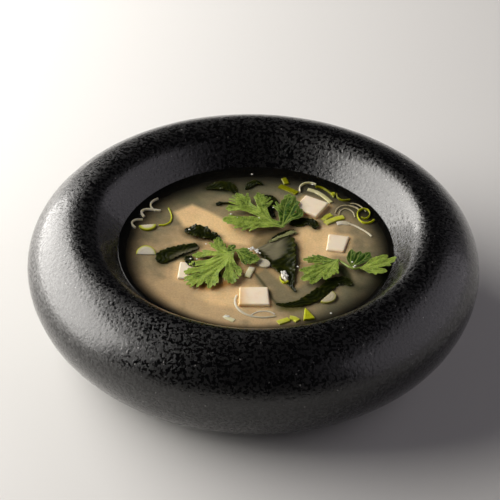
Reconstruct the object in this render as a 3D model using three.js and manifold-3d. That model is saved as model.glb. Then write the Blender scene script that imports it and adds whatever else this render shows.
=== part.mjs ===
// Miso soup in a thick-walled stoneware bowl, with tofu, wakame, coriander and spring onion.
// Millimetres, +Z up. The origin is the centre of the bowl's base; the front of the bowl faces -Y.
import * as THREE from 'three';
import { mergeVertices } from 'three/addons/utils/BufferGeometryUtils.js';
import { RoundedBoxGeometry } from 'three/addons/geometries/RoundedBoxGeometry.js';
import Module from 'manifold-3d';

// ---------------------------------------------------------------- driving dimensions

const SEGMENTS = 64; // facets round the bowl and the soup
const GAP = 0.3; // clearance between pieces that rest on or in each other

const BOWL = {
  outerRadius: 110, // at its widest
  equatorHeight: 35.8, // height of the widest ring
  crestRadius: 85.5, // ring along the top of the rim
  crestHeight: 59.75,
  upperFullness: 1.87, // superellipse exponent of the outer flank above the widest ring
  lowerFullness: 1.91, // the same below it
  footRadius: 73.9, // outer edge of the flat ring that the bowl stands on
  footWidth: 10,
  recessDepth: 3, // plain hollow inside the standing ring
  lipRadius: 13.15, // round of the rim towards the opening
  wallSlope: THREE.MathUtils.degToRad(50.5), // steepness of the inner wall
  floorHeight: 9, // top of the bowl's floor
  floorFillet: 20, // between the inner wall and the floor
  openingShift: 1, // the opening sits this far off centre, to +X
};

const SOUP = {
  level: 44.15,
  wallSteps: 2, // rows up the wall
};

const TOFU = {
  height: 12,
  edgeRadius: 0.7,
};

const WAKAME_THICKNESS = 0.7;
const LEAF_THICKNESS = 0.5;
const STEM_RADIUS = 0.75;
const SLICE_THICKNESS = 0.8;

// Tofu cubes that stand proud of the soup: centre of the top face, sizes along the cube's own
// X and Y, its turn in degrees, how far its top stands above the soup, and how much wider it is
// at its back than at its front.
const TOFU_CUBES = {
  tofu_back: { x: 28.1, y: 33.8, width: 12.4, depth: 12, turn: -28.8, proud: 2.5, flare: 0 },
  tofu_right: { x: 40.2, y: 4.6, width: 9.2, depth: 12.6, turn: -10, proud: 1, flare: 0.2 },
  tofu_front: { x: 0.5, y: -38.6, width: 14.2, depth: 13.4, turn: 2, proud: 1.6, flare: -0.08 },
  tofu_left: { x: -29.4, y: -19.4, width: 12.4, depth: 12.8, turn: -4, proud: 1.1, flare: 0 },
};

// Wakame fronds on the soup. Each point of the spine is [x, y, height above the soup of the
// middle of the sheet, half width]; sides are the lifts of the left and right edges.
const FLAT = GAP + WAKAME_THICKNESS / 2; // middle height of a frond lying on the soup
const WAKAME = {
  wakame_back_left: {
    spine: [[-24.6, 47.4, FLAT, 0.8], [-20.5, 48.9, 0.9, 2.6], [-15.6, 49.9, 1.2, 3.8], [-11.8, 48, 0.9, 3], [-9.6, 44.4, FLAT, 0.9]],
    sides: [0.9, 0.1], ruffle: 0.2, waves: 3,
  },
  wakame_back: {
    spine: [[-4.6, 47.6, FLAT, 0.6], [-2.6, 51.2, 0.9, 2], [0.4, 53.4, 1, 1.6], [4.2, 52, FLAT, 0.6]],
    sides: [0.5, 0.3], ruffle: 0.2, waves: 3,
  },
  wakame_folded: {
    spine: [[-34, 12.4, 0.9, 1], [-30.5, 11.4, 1.3, 4.2], [-26, 10.2, 1.4, 4.8], [-22, 8.2, 1, 3.2], [-18, 7.3, FLAT, 2.6], [-16.4, 7.4, FLAT, 0.8]],
    sides: [1.4, 0.8], ruffle: 0.35, waves: 4,
  },
  wakame_left: {
    spine: [[-44.8, -13.6, FLAT, 1.6], [-43.4, -8.6, 0.9, 3.6], [-38.6, -5, 1, 3], [-33.4, -2.4, 0.9, 2.4], [-27.2, 0.6, FLAT, 1.7]],
    sides: [0.7, 0.2], ruffle: 0.2, waves: 4,
  },
  wakame_behind_leaf: {
    spine: [[17, 20.2, FLAT, 1.4], [21.4, 20.6, FLAT, 3.2], [26, 21.6, 0.9, 2.5], [29.2, 19.4, 1.1, 2.2], [30.2, 16, 1, 1.4]],
    sides: [0.2, 0.8], ruffle: 0.15, waves: 3,
  },
  wakame_centre: {
    spine: [[8.6, 4.4, 0.8, 9.6], [10.9, 0, FLAT, 9.8], [12.5, -5, FLAT, 8], [13.7, -10, FLAT, 6.9], [15, -15, 0.7, 5.2], [16.9, -19.4, 0.7, 2.7], [18.1, -25, FLAT, 1.2], [18.6, -30.5, FLAT, 0.8], [20.3, -34.2, FLAT, 0.5]],
    sides: [0.3, 1.5], ruffle: 0.15, waves: 5,
  },
  wakame_between_leaves: {
    spine: [[3.6, 42.8, FLAT, 0.8], [7.6, 40.6, 0.8, 2], [9.4, 36.4, 0.8, 2.3], [7.6, 31, FLAT, 1.8], [9.4, 25.2, FLAT, 1.1]],
    sides: [0.3, 0.3], ruffle: 0.15, waves: 4,
  },
  wakame_right: {
    spine: [[11, -43.8, FLAT, 0.7], [16.8, -44.2, FLAT, 1.5], [23.6, -42.2, 0.9, 2.6], [29.8, -37.4, 1.1, 3.5], [34.6, -31.3, 0.8, 3.1], [39.4, -25.6, 0.7, 3.1], [44.2, -25.4, FLAT, 2.6], [46.8, -28.6, FLAT, 0.9]],
    sides: [0.1, 0.5], ruffle: 0.2, waves: 6,
  },
};

// A coriander leaflet is a fan of lobes about the point where its veins meet. A lobe is
// [direction in degrees, reach, half width] with, where they differ from the leaflet's own,
// notch: how far out the cut towards the next lobe starts, lean: degrees by which its vein starts
// off its direction, and tip: height of its end above the soup.
const CORIANDER = {
  coriander_back: [{
    x: 6.7, y: 17.4, rise: 2.7, tip: 2.4, ruffle: 0.3, waves: 7,
    lobes: [
      [-80, 3, 1.6], [-50, 7, 3], [-30, 9.6, 3, { tip: 3 }], [-8, 9.8, 3, { tip: 3.3 }], [10, 12.5, 3, { tip: 3.5 }],
      [25, 17.4, 3, { tip: 3.7 }], [34, 18.8, 2.8, { notch: 14.5, tip: 3.7 }], [52, 22.5, 3.2, { tip: 3.6 }],
      [64, 23.7, 3, { tip: 3.2 }], [78, 18.5, 2.6, { notch: 5, tip: 3 }], [94, 21.6, 2.8], [102, 24.5, 3, { notch: 17 }],
      [115, 25.4, 3], [124, 28.7, 3.4, { tip: 1.6 }], [135, 26.1, 3.2, { notch: 20, tip: 1.4 }],
      [148, 24.3, 3, { notch: 10.5, tip: 1.2 }], [161, 20.5, 3, { tip: 1.3 }], [175, 21.4, 3.6, { tip: 1.2 }],
      [193, 16.8, 3.6, { tip: 1.4 }], [213, 11.6, 3.4, { tip: 1.8 }], [235, 7.5, 2.6], [258, 3, 1.6],
    ],
  }],
  coriander_left: [{
    x: -9.5, y: -5.2, rise: 2.5, tip: 2, ruffle: 0.2, waves: 6,
    lobes: [
      [65, 2.8, 1.5], [112, 6, 2.2], [135, 12.2, 3, { tip: 2.6 }], [157, 12.6, 3.4, { notch: 9.5, tip: 2.6 }],
      [178, 14, 3], [190, 19, 3], [198, 21.4, 3, { notch: 12.4 }], [212, 24.5, 3.2, { notch: 21.5 }],
      [222, 31, 3.2], [228, 34.4, 3.4], [236, 35.5, 3.2, { tip: 1.8 }], [241, 33.5, 2.8, { notch: 27.9, tip: 1.5 }],
      [247, 32, 3, { tip: 0.9, lean: -4 }], [253, 28, 2.6, { notch: 16.5, tip: 1, lean: -8 }], [259, 23.8, 2.6, { tip: 1, lean: -14 }],
      [269, 25.4, 3.4, { tip: 0.9, lean: -20 }], [279, 20.6, 3, { notch: 4, tip: 1.1, lean: -28 }],
      [290, 11.6, 2.6, { tip: 2 }], [301, 13.8, 3], [315, 14.4, 3.4], [331, 14.6, 3.6], [349, 11.4, 3.4], [365, 8.4, 2.6], [384, 3, 1.5],
    ],
  }],
  coriander_right: [{
    x: 41.1, y: -11.5, rise: 2.6, tip: 2.3, ruffle: 0.15, waves: 6,
    lobes: [
      [138, 2.4, 1.2], [158, 9.6, 2.4], [166, 13.2, 2.6], [181, 17.4, 2.8, { notch: 13 }], [191, 15, 2.4, { notch: 10.6 }],
      [201, 20, 2.8], [210, 20.8, 2.8], [218, 22.8, 2.8], [226, 21.4, 2.6], [233, 23, 2.8, { notch: 14 }],
      [245, 16.8, 2.4], [254, 13.6, 2.4], [267, 10.4, 2.4], [288, 3.4, 1.4],
    ],
  }, {
    x: 43.4, y: -14.5, rise: 2.7, tip: 3.2, ruffle: 0.15, waves: 5,
    lobes: [
      [-14, 4.6, 1.8], [4, 9, 2.6], [17, 13.4, 3], [37, 15.4, 3], [48, 12, 2.4, { notch: 8.8 }], [58, 10.6, 2.2],
      [71, 11.2, 2.6], [94, 4.6, 1.8],
    ],
  }, {
    x: 50.5, y: -17.4, rise: 2.9, tip: 4.2, ruffle: 0.2, waves: 5,
    lobes: [
      [-66, 3.6, 1.6], [-45, 9, 2.6, { tip: 3 }], [-30, 10.8, 2.6, { tip: 3.2 }], [-15, 13.4, 2.8, { notch: 11.6 }],
      [9, 17, 2.8], [21, 19.4, 3], [31, 15.6, 2.6, { notch: 11.6 }], [42, 11.3, 2.4], [64, 4.2, 1.8],
    ],
  }],
};
const RIGHT_SPRIG_STEM = [[40.4, -11, 2.6], [43, -13.2, 2.6], [46.2, -16.4, 2.6], [48.6, -17.6, 2.7], [51.4, -17.2, 2.9]];

// Spring onion cut lengthways: standing strips along a path of [x, y, height above the soup],
// with their wall thickness and height.
const ONION_SHREDS = {
  onion_curl_left_front: { thickness: 0.9, height: 1, path: [[-54.6, 20.3, 0.3], [-57.1, 20.2, 0.3], [-59.2, 19.4, 0.3], [-60.1, 17.7, 0.3], [-59.5, 15.6, 0.3], [-58.3, 13.9, 0.3]] },
  onion_curl_left_middle: { thickness: 1.3, height: 1, path: [[-46.2, 27.8, 0.3], [-49.1, 27.6, 0.3], [-51.6, 28.1, 0.3], [-53.5, 28.6, 0.3], [-55.2, 27.6, 0.3], [-55.4, 25.2, 0.3], [-54.3, 22.8, 0.3]] },
  onion_curl_left_back: { thickness: 1, height: 1, path: [[-47.4, 38, 0.3], [-49.7, 36.1, 0.3], [-51.2, 33.6, 0.3], [-50.9, 31.3, 0.3], [-49.7, 29.6, 0.3]] },
  onion_arc_left: { thickness: 0.8, height: 0.8, path: [[-42.8, 30.7, 0.3], [-41.6, 27.4, 0.3], [-40.8, 24.1, 0.3], [-40.9, 20.8, 0.3], [-42.3, 17.9, 0.3], [-44.7, 16.8, 0.3], [-46.8, 16.4, 0.3]] },
  onion_loop_back: { thickness: 0.8, height: 1.2, path: [[23.2, 46, 0.3], [22.6, 48.2, 0.3], [22.7, 50, 0.3], [24, 52.2, 0.3], [26.1, 53.4, 0.3], [28.6, 53.4, 0.3], [30.8, 52.6, 0.3]] },
  onion_shred_back_outer: { thickness: 1, height: 1, path: [[31.8, 50.6, 0.3], [33.6, 50, 0.3], [36, 48, 0.3], [38.6, 45.4, 0.3]] },
  onion_shred_back_inner: { thickness: 1.6, height: 0.8, path: [[26, 47.6, 0.3], [29.5, 46.4, 0.3], [33, 44.4, 0.3], [36.2, 41.2, 0.3], [39.4, 37.9, 0.3]] },
  onion_shred_right_back: { thickness: 1, height: 1, path: [[40.9, 44.2, 0.3], [41.4, 41.4, 0.3], [44.3, 39.5, 0.3], [47.4, 40.1, 0.3]] },
  onion_shred_right_middle: { thickness: 0.9, height: 1, path: [[41.2, 30.2, 0.3], [41.4, 33, 0.3], [43, 35, 0.3], [46.3, 35, 0.3], [48.6, 33.4, 0.3]] },
  onion_spiral_right: { thickness: 0.7, height: 1.2, path: [[58.9, 23.8, 0.3], [56.3, 21.3, 0.3], [53.4, 21.6, 0.3], [51.4, 24.4, 0.3], [50.7, 28.1, 0.3], [51.7, 31.4, 0.3], [54.2, 32.8, 0.3], [56.6, 31.6, 0.3], [57, 28.3, 0.3], [55.5, 25.4, 0.3], [53.6, 25, 0.3]] },
  onion_strand_right: { thickness: 0.8, height: 0.8, path: [[47, 20.9, 0.3], [49.9, 19, 0.3], [52.8, 16.2, 0.3], [55.7, 13.1, 0.3], [57.1, 11.5, 0.3]] },
  onion_leaf_right_front: { thickness: 1.6, height: 0.7, path: [[36.6, 20.6, 0.3], [38, 22, 0.3], [40, 23.8, 0.3], [42.7, 25.9, 0.3]] },
  onion_leaf_right_back: { thickness: 2.2, height: 0.7, path: [[38.2, 26.4, 0.3], [39.8, 28, 0.3]] },
  onion_leaf_back: { thickness: 2.6, height: 0.8, path: [[13.4, 50, 0.3], [17, 47.6, 0.3], [20.4, 45, 0.3]] },
  onion_leaf_back_tip: { thickness: 2.4, height: 0.8, path: [[14.3, 56.4, 0.3], [15.8, 53, 0.3]] },
  onion_shred_centre: { thickness: 2.7, height: 0.8, path: [[-0.7, -17.6, 0.3], [-1.8, -20.6, 0.3], [-2.6, -23.8, 0.3]] },
  onion_leaf_front_left: { thickness: 2, height: 0.7, path: [[11.9, -58, 0.3], [14.4, -56.9, 0.3], [16, -56.6, 0.3]] },
  onion_leaf_front_middle: { thickness: 2.2, height: 0.7, path: [[17.4, -54.6, 0.3], [19.6, -54.6, 0.3], [21.4, -56.2, 0.3]] },
  onion_film_front: { thickness: 0.8, height: 0.6, path: [[-7.9, -38.6, 0.3], [-8.6, -42, 0.3], [-8.1, -45.4, 0.3], [-6.4, -48.8, 0.3], [-3.8, -51.2, 0.3], [-0.7, -52.8, 0.3], [2.6, -53.6, 0.3], [6.3, -53.2, 0.3], [10, -51.8, 0.3]] },
};

// Spring onion cut across or on the slant: flat pieces given by an oval's centre, its two half
// axes, its turn, the part of the oval that is kept, in degrees, and the tilt about its chord.
const ONION_SLICES = {
  onion_slice_left: { x: -52, y: -7, long: 4.8, short: 5, turn: 0, from: 0, to: 180, tilt: 21 },
  onion_slice_left_back: { x: -52.3, y: 15.6, long: 4.2, short: 3.6, turn: 10, from: 180, to: 360, tilt: 0 },
  onion_slice_centre: { x: 5, y: -15.4, long: 4, short: 2.9, turn: -40, from: 0, to: 360, tilt: 0 },
  onion_slice_right: { x: 34.7, y: -38.3, long: 4.9, short: 4.3, turn: 54, from: 180, to: 360, tilt: 0 },
  onion_leaf_front_right: { x: 26, y: -53.2, long: 5.2, short: 2.5, turn: 84, from: -95, to: 95, tilt: 0 },
};

const COLOURS = {
  stoneware: 0x2b2a2c,
  soup: 0xb9a27c,
  tofu: 0xf2e7d3,
  wakame: 0x25330f,
  coriander: 0x74a04a,
  onion: 0xd9dfae,
};

// ---------------------------------------------------------------- closed geometry

/** Merges shared vertices, drops empty triangles and turns the faces outwards. */
function closed(geometry) {
  const bare = geometry.index ? geometry.clone() : geometry;
  bare.deleteAttribute('normal');
  bare.deleteAttribute('uv');
  const merged = mergeVertices(bare, 1e-4);
  const place = merged.getAttribute('position');
  const corner = (i) => new THREE.Vector3().fromBufferAttribute(place, i);
  const index = merged.index.array;
  const kept = [];
  let volume = 0;
  for (let k = 0; k < index.length; k += 3) {
    const [a, b, c] = [index[k], index[k + 1], index[k + 2]];
    if (a !== b && b !== c && c !== a) {
      kept.push(a, b, c);
      volume += corner(a).dot(corner(b).cross(corner(c)));
    }
  }
  if (volume < 0) {
    for (let k = 0; k < kept.length; k += 3) [kept[k], kept[k + 1]] = [kept[k + 1], kept[k]];
  }
  merged.setIndex(kept);
  merged.clearGroups();
  merged.computeVertexNormals();
  return merged;
}

const wasm = await Module();
wasm.setup();

function asSolid(geometry) {
  return new wasm.Manifold(new wasm.Mesh({
    numProp: 3,
    vertProperties: new Float32Array(geometry.getAttribute('position').array),
    triVerts: new Uint32Array(geometry.index.array),
  }));
}

function asGeometry(solid) {
  const mesh = solid.getMesh();
  const geometry = new THREE.BufferGeometry();
  geometry.setAttribute('position', new THREE.BufferAttribute(new Float32Array(mesh.vertProperties), 3));
  geometry.setIndex(Array.from(mesh.triVerts));
  return closed(geometry);
}

/** Turns a profile of { r, z, shift } about the Z axis; shift moves a ring off centre, to +X. */
function turned(profile) {
  const points = profile.map(({ r, z }) => new THREE.Vector2(r, z));
  const geometry = new THREE.LatheGeometry(points, SEGMENTS);
  geometry.rotateX(Math.PI / 2);
  const place = geometry.getAttribute('position');
  for (let i = 0; i < place.count; i += 1) place.setX(i, place.getX(i) + profile[i % profile.length].shift);
  return closed(geometry);
}

/** A thin solid about a grid of points, with both faces split into triangles alike. */
function sheet(rows, thickness) {
  const across = rows[0].length;
  const places = [];
  for (const side of [1, -1]) {
    for (const row of rows) {
      for (const point of row) places.push(point.x, point.y, point.z + (side * thickness) / 2);
    }
  }
  const half = rows.length * across;
  const at = (i, j, side) => i * across + j + (side > 0 ? 0 : half);
  const index = [];
  const quad = (a, b, c, d) => index.push(a, b, c, a, c, d);
  for (let i = 0; i + 1 < rows.length; i += 1) {
    for (let j = 0; j + 1 < across; j += 1) {
      quad(at(i, j, 1), at(i + 1, j, 1), at(i + 1, j + 1, 1), at(i, j + 1, 1));
      quad(at(i, j, -1), at(i, j + 1, -1), at(i + 1, j + 1, -1), at(i + 1, j, -1));
    }
  }
  const last = rows.length - 1;
  const rim = [];
  for (let i = 0; i < last; i += 1) rim.push([i, 0]);
  for (let j = 0; j < across - 1; j += 1) rim.push([last, j]);
  for (let i = last; i > 0; i -= 1) rim.push([i, across - 1]);
  for (let j = across - 1; j > 0; j -= 1) rim.push([0, j]);
  rim.forEach(([i, j], k) => {
    const [m, n] = rim[(k + 1) % rim.length];
    quad(at(i, j, 1), at(i, j, -1), at(m, n, -1), at(m, n, 1));
  });
  const geometry = new THREE.BufferGeometry();
  geometry.setAttribute('position', new THREE.Float32BufferAttribute(places, 3));
  geometry.setIndex(index);
  return closed(geometry);
}

// ---------------------------------------------------------------- bowl and soup

/** Points of a quarter superellipse from its side (start 0) to its top or bottom. */
function flank(count, fullness, height, radius, endHeight, endRadius) {
  const points = [];
  for (let i = 0; i <= count; i += 1) {
    const angle = (i / count) * (Math.PI / 2);
    const out = Math.cos(angle) ** (2 / fullness);
    const up = Math.sin(angle) ** (2 / fullness);
    points.push({ r: endRadius + (radius - endRadius) * out, z: height + (endHeight - height) * up });
  }
  return points;
}

/** Inner wall from the rim's crest to the middle of the floor, as { r, z } points. */
function innerWall() {
  const { crestRadius, crestHeight, lipRadius, wallSlope, floorHeight, floorFillet } = BOWL;
  const arcs = 5;
  const points = [];
  for (let i = 1; i <= arcs; i += 1) {
    const turn = (i / arcs) * wallSlope;
    points.push({ r: crestRadius - lipRadius * Math.sin(turn), z: crestHeight - lipRadius * (1 - Math.cos(turn)) });
  }
  const top = points[points.length - 1];
  const footOfWall = top.r - (top.z - floorHeight) / Math.tan(wallSlope);
  const tangent = floorFillet * Math.tan(wallSlope / 2);
  const centre = { r: footOfWall - tangent, z: floorHeight + floorFillet };
  for (let i = arcs; i >= 0; i -= 1) {
    const turn = (i / arcs) * wallSlope;
    points.push({ r: centre.r + floorFillet * Math.sin(turn), z: centre.z - floorFillet * Math.cos(turn) });
  }
  points.push({ r: 0, z: floorHeight });
  return points;
}

function bowlProfile() {
  const {
    outerRadius, equatorHeight, crestRadius, crestHeight, upperFullness, lowerFullness,
    footRadius, footWidth, recessDepth, openingShift,
  } = BOWL;
  const under = flank(8, lowerFullness, equatorHeight, outerRadius, 0, footRadius).reverse();
  const over = flank(9, upperFullness, equatorHeight, outerRadius, crestHeight, crestRadius).slice(1);
  const inside = innerWall();
  const footInside = footRadius - footWidth;
  const outside = [
    { r: 0, z: recessDepth }, { r: footInside - recessDepth, z: recessDepth }, { r: footInside, z: 0 },
    ...under, ...over,
  ].map((point) => ({ ...point, shift: 0 }));
  return [...outside, ...inside.map((point, i) => ({ ...point, shift: openingShift * Math.min(1, (i + 1) / 4) }))];
}

function soupProfile() {
  const away = { r: -GAP * Math.sin(BOWL.wallSlope), z: GAP * Math.cos(BOWL.wallSlope) };
  const wall = innerWall().filter(({ z }) => z < SOUP.level).reverse();
  const steepest = wall[wall.length - 1];
  const wet = wall.map(({ r, z }) => ({ r: r === 0 ? 0 : r + away.r, z: r === 0 ? z + GAP : Math.max(z + away.z, BOWL.floorHeight + GAP) }));
  const edgeRadius = steepest.r + (SOUP.level - steepest.z) / Math.tan(BOWL.wallSlope) - GAP / Math.sin(BOWL.wallSlope);
  const first = wet[wet.length - 1];
  for (let i = 1; i <= SOUP.wallSteps; i += 1) {
    const share = i / SOUP.wallSteps;
    wet.push({ r: first.r + (edgeRadius - first.r) * share, z: first.z + (SOUP.level - first.z) * share });
  }
  wet.push({ r: 0, z: SOUP.level });
  return wet.map((point) => ({ ...point, shift: BOWL.openingShift }));
}

// ---------------------------------------------------------------- tofu

/** A soft-edged cube with its top face at local Z 0; spread makes it larger all round. */
function tofuCube({ width, depth, flare }, spread = 0) {
  const geometry = new RoundedBoxGeometry(
    width + 2 * spread, depth + 2 * spread, TOFU.height + 2 * spread, 1, TOFU.edgeRadius,
  );
  const place = geometry.getAttribute('position');
  for (let i = 0; i < place.count; i += 1) {
    place.setX(i, place.getX(i) * (1 + (flare * place.getY(i)) / depth));
    place.setZ(i, place.getZ(i) - TOFU.height / 2);
  }
  return closed(geometry);
}

function tofuPlace({ x, y, turn, proud }) {
  const place = new THREE.Object3D();
  place.position.set(x, y, SOUP.level + proud);
  place.rotation.z = THREE.MathUtils.degToRad(turn);
  place.updateMatrix();
  return place;
}

/** The soup up to its level, with a pocket for every cube that stands out of it. */
function soupBody() {
  let body = asSolid(turned(soupProfile()));
  for (const cube of Object.values(TOFU_CUBES)) {
    const pocket = tofuCube(cube, GAP).applyMatrix4(tofuPlace(cube).matrix);
    body = body.subtract(asSolid(pocket));
  }
  return asGeometry(body);
}

// ---------------------------------------------------------------- wakame

/** A wavy frond along its spine, with rounded ends, never lower than just above the soup. */
function frond({ spine, sides, ruffle, waves }) {
  const steps = 3 * (spine.length - 1) + 1;
  const across = 4;
  const middle = new THREE.CatmullRomCurve3(spine.map(([x, y, z]) => new THREE.Vector3(x, y, z)));
  const breadth = new THREE.SplineCurve(spine.map(([, , , half], i) => new THREE.Vector2(i, half)));
  const rows = [];
  for (let i = 0; i <= steps; i += 1) {
    const along = i / steps;
    const centre = middle.getPoint(along);
    const ahead = middle.getTangent(along);
    const side = new THREE.Vector3(-ahead.y, ahead.x, 0).normalize();
    const half = breadth.getPoint(along).y;
    const row = [];
    for (let j = 0; j <= across; j += 1) {
      const s = (2 * j) / across - 1;
      const point = centre.clone().addScaledVector(side, s * half);
      const lift = s < 0 ? sides[0] : sides[1];
      point.z += lift * s * s + ruffle * Math.abs(s) * Math.sin(2 * Math.PI * waves * along + 2 * s);
      point.z = Math.max(point.z, FLAT);
      row.push(point);
    }
    rows.push(row);
  }
  return sheet(rows, WAKAME_THICKNESS);
}

// ---------------------------------------------------------------- coriander

/** How far a lobe, an ellipse from the leaflet's middle outwards, reaches in a direction. */
function lobeReach([toward, reach, half], angle) {
  const off = THREE.MathUtils.degToRad(angle - toward);
  if (Math.cos(off) <= 0) return 0;
  const long = reach / 2;
  return (2 * long * Math.cos(off) * half * half) / ((half * Math.cos(off)) ** 2 + (long * Math.sin(off)) ** 2);
}

/** A lobed leaflet as a fan of rays from the point where its veins meet, at local X and Y 0. */
function leaflet({ rise, tip, ruffle, waves, lobes }) {
  const shares = [0, 0.3, 0.5, 0.7];
  const rings = 2;
  const detail = lobes.map(([, , , own]) => ({ tip, lean: 0, ...own }));
  const rays = [];
  lobes.forEach((lobe, k) => {
    const next = lobes[k + 1];
    for (const share of next ? shares : [0]) {
      const angle = next ? THREE.MathUtils.lerp(lobe[0], next[0], share) : lobe[0];
      const mix = (key) => (next ? THREE.MathUtils.lerp(detail[k][key], detail[k + 1][key], share) : detail[k][key]);
      const outline = Math.max(...lobes.map((any) => lobeReach(any, angle)));
      const cut = share === 0.5 && detail[k].notch ? detail[k].notch : Infinity;
      rays.push({ angle, reach: Math.min(outline, cut), tip: mix('tip'), lean: mix('lean') });
    }
  });
  const rows = rays.map((ray) => {
    const row = [];
    for (let j = 0; j <= rings; j += 1) {
      const share = j / rings;
      const angle = THREE.MathUtils.degToRad(ray.angle + ray.lean * (1 - share));
      const wave = ruffle * share * Math.sin(waves * THREE.MathUtils.degToRad(ray.angle));
      const z = THREE.MathUtils.lerp(rise, ray.tip, share ** 1.5) + wave;
      const out = ray.reach * share;
      row.push(new THREE.Vector3(out * Math.cos(angle), out * Math.sin(angle), Math.max(z, GAP + LEAF_THICKNESS / 2)));
    }
    return row;
  });
  return sheet(rows, LEAF_THICKNESS);
}

/** A round stem along a path, as an eight-sided tube with closed ends. */
function stem(path, radius) {
  const curve = new THREE.CatmullRomCurve3(path.map(([x, y, z]) => new THREE.Vector3(x, y, z)));
  const section = new THREE.Shape(new THREE.EllipseCurve(0, 0, radius, radius, 0, 2 * Math.PI).getPoints(8).slice(0, -1));
  return closed(new THREE.ExtrudeGeometry(section, { steps: 12, extrudePath: curve, bevelEnabled: false }));
}

/** One sprig: its leaflets, joined by a stem where there is more than one. */
function sprig(leaflets) {
  const solids = leaflets.map((one) => asSolid(leaflet(one).translate(one.x, one.y, 0)));
  if (solids.length > 1) solids.push(asSolid(stem(RIGHT_SPRIG_STEM, STEM_RADIUS)));
  return asGeometry(solids.reduce((whole, next) => whole.add(next)));
}

// ---------------------------------------------------------------- spring onion

/** A standing strip along a path, with a rectangular section. */
function shred({ path, thickness, height }) {
  const curve = new THREE.CatmullRomCurve3(path.map(([x, y, z]) => new THREE.Vector3(x, y, z)));
  const steps = 2 * (path.length - 1) + 2;
  const rows = [];
  for (let i = 0; i <= steps; i += 1) {
    const point = curve.getPointAt(i / steps);
    const ahead = curve.getTangentAt(i / steps);
    const side = new THREE.Vector3(-ahead.y, ahead.x, 0).normalize().multiplyScalar(thickness / 2);
    point.z += height / 2;
    rows.push([point.clone().sub(side), point.clone().add(side)]);
  }
  return sheet(rows, height);
}

/** A flat cut piece: the part of an oval between two angles, tilted up about its X axis. */
function slice({ long, short, turn, from, to, tilt }) {
  const whole = to - from >= 360;
  const start = THREE.MathUtils.degToRad(from);
  const curve = new THREE.EllipseCurve(0, 0, long, short, start, THREE.MathUtils.degToRad(to));
  const outline = curve.getPoints(whole ? 18 : 12);
  const geometry = new THREE.ExtrudeGeometry(new THREE.Shape(whole ? outline.slice(0, -1) : outline), {
    depth: SLICE_THICKNESS, bevelEnabled: false,
  });
  geometry.rotateX(THREE.MathUtils.degToRad(tilt));
  geometry.rotateZ(THREE.MathUtils.degToRad(turn));
  return closed(geometry);
}

// ---------------------------------------------------------------- the part

function finish(colour, roughness) {
  return new THREE.MeshStandardMaterial({ color: colour, roughness, metalness: 0 });
}

function named(name, geometry, colour, roughness) {
  const mesh = new THREE.Mesh(geometry, finish(colour, roughness));
  mesh.name = name;
  return mesh;
}

const part = new THREE.Group();
part.add(named('bowl', turned(bowlProfile()), COLOURS.stoneware, 0.45));
part.add(named('soup', soupBody(), COLOURS.soup, 0.15));

for (const [name, cube] of Object.entries(TOFU_CUBES)) {
  const mesh = named(name, tofuCube(cube), COLOURS.tofu, 0.5);
  tofuPlace(cube).matrix.decompose(mesh.position, mesh.quaternion, mesh.scale);
  part.add(mesh);
}

const floating = new THREE.Group(); // everything that lies on the soup, with its level as Z 0
floating.position.z = SOUP.level;
part.add(floating);

for (const [name, spec] of Object.entries(WAKAME)) {
  floating.add(named(name, frond(spec), COLOURS.wakame, 0.25));
}
for (const [name, leaflets] of Object.entries(CORIANDER)) {
  floating.add(named(name, sprig(leaflets), COLOURS.coriander, 0.45));
}
for (const [name, spec] of Object.entries(ONION_SHREDS)) {
  floating.add(named(name, shred(spec), COLOURS.onion, 0.35));
}
for (const [name, spec] of Object.entries(ONION_SLICES)) {
  const mesh = named(name, slice(spec), COLOURS.onion, 0.35);
  mesh.position.set(spec.x, spec.y, GAP);
  floating.add(mesh);
}

export default part;
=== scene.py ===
"""Miso soup in a thick-walled stoneware bowl, with tofu, wakame, coriander and spring onion.

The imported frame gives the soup's level, and its plain solids are replaced by the finished pieces
made here. Sizes are in millimetres and angles in degrees unless a name or comment says otherwise,
and meshes are written in metres. The front of the bowl faces -Y, and a rise is above the soup.
"""

import logging
import math
from abc import ABC, abstractmethod
from dataclasses import dataclass, field
from enum import Enum
from functools import cached_property
from typing import ClassVar

import bmesh
import bpy
import numpy as np
from mathutils import Matrix, Vector, noise


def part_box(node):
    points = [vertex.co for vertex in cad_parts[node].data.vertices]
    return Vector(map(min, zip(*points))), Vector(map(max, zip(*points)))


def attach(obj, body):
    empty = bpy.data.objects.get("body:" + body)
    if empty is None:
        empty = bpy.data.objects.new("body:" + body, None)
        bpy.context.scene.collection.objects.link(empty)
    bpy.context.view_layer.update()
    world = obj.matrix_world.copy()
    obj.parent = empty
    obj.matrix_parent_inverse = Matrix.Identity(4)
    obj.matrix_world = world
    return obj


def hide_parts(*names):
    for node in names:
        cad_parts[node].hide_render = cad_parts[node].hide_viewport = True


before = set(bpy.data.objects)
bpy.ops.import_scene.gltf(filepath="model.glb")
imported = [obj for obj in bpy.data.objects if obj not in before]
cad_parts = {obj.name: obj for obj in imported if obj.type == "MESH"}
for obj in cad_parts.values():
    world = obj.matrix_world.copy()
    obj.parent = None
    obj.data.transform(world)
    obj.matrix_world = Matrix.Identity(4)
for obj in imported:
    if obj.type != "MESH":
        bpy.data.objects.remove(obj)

log = logging.getLogger("miso_soup")

MM = 0.001
BODY = "root"
SOUP_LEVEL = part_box("soup")[1].z / MM

Colour = tuple[float, float, float]
Triple = tuple[float, float, float]
Point = tuple[float, float]
Quad = tuple[float, float, float, float]
Path = tuple[Point, ...]
Array = np.ndarray
Fields = dict[str, Array]
Inputs = dict[str | int, object]
Socket = bpy.types.NodeSocket
Sockets = bpy.types.bpy_prop_collection
Item = bpy.types.Object
Material = bpy.types.Material
NodeTree = bpy.types.NodeTree


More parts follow.
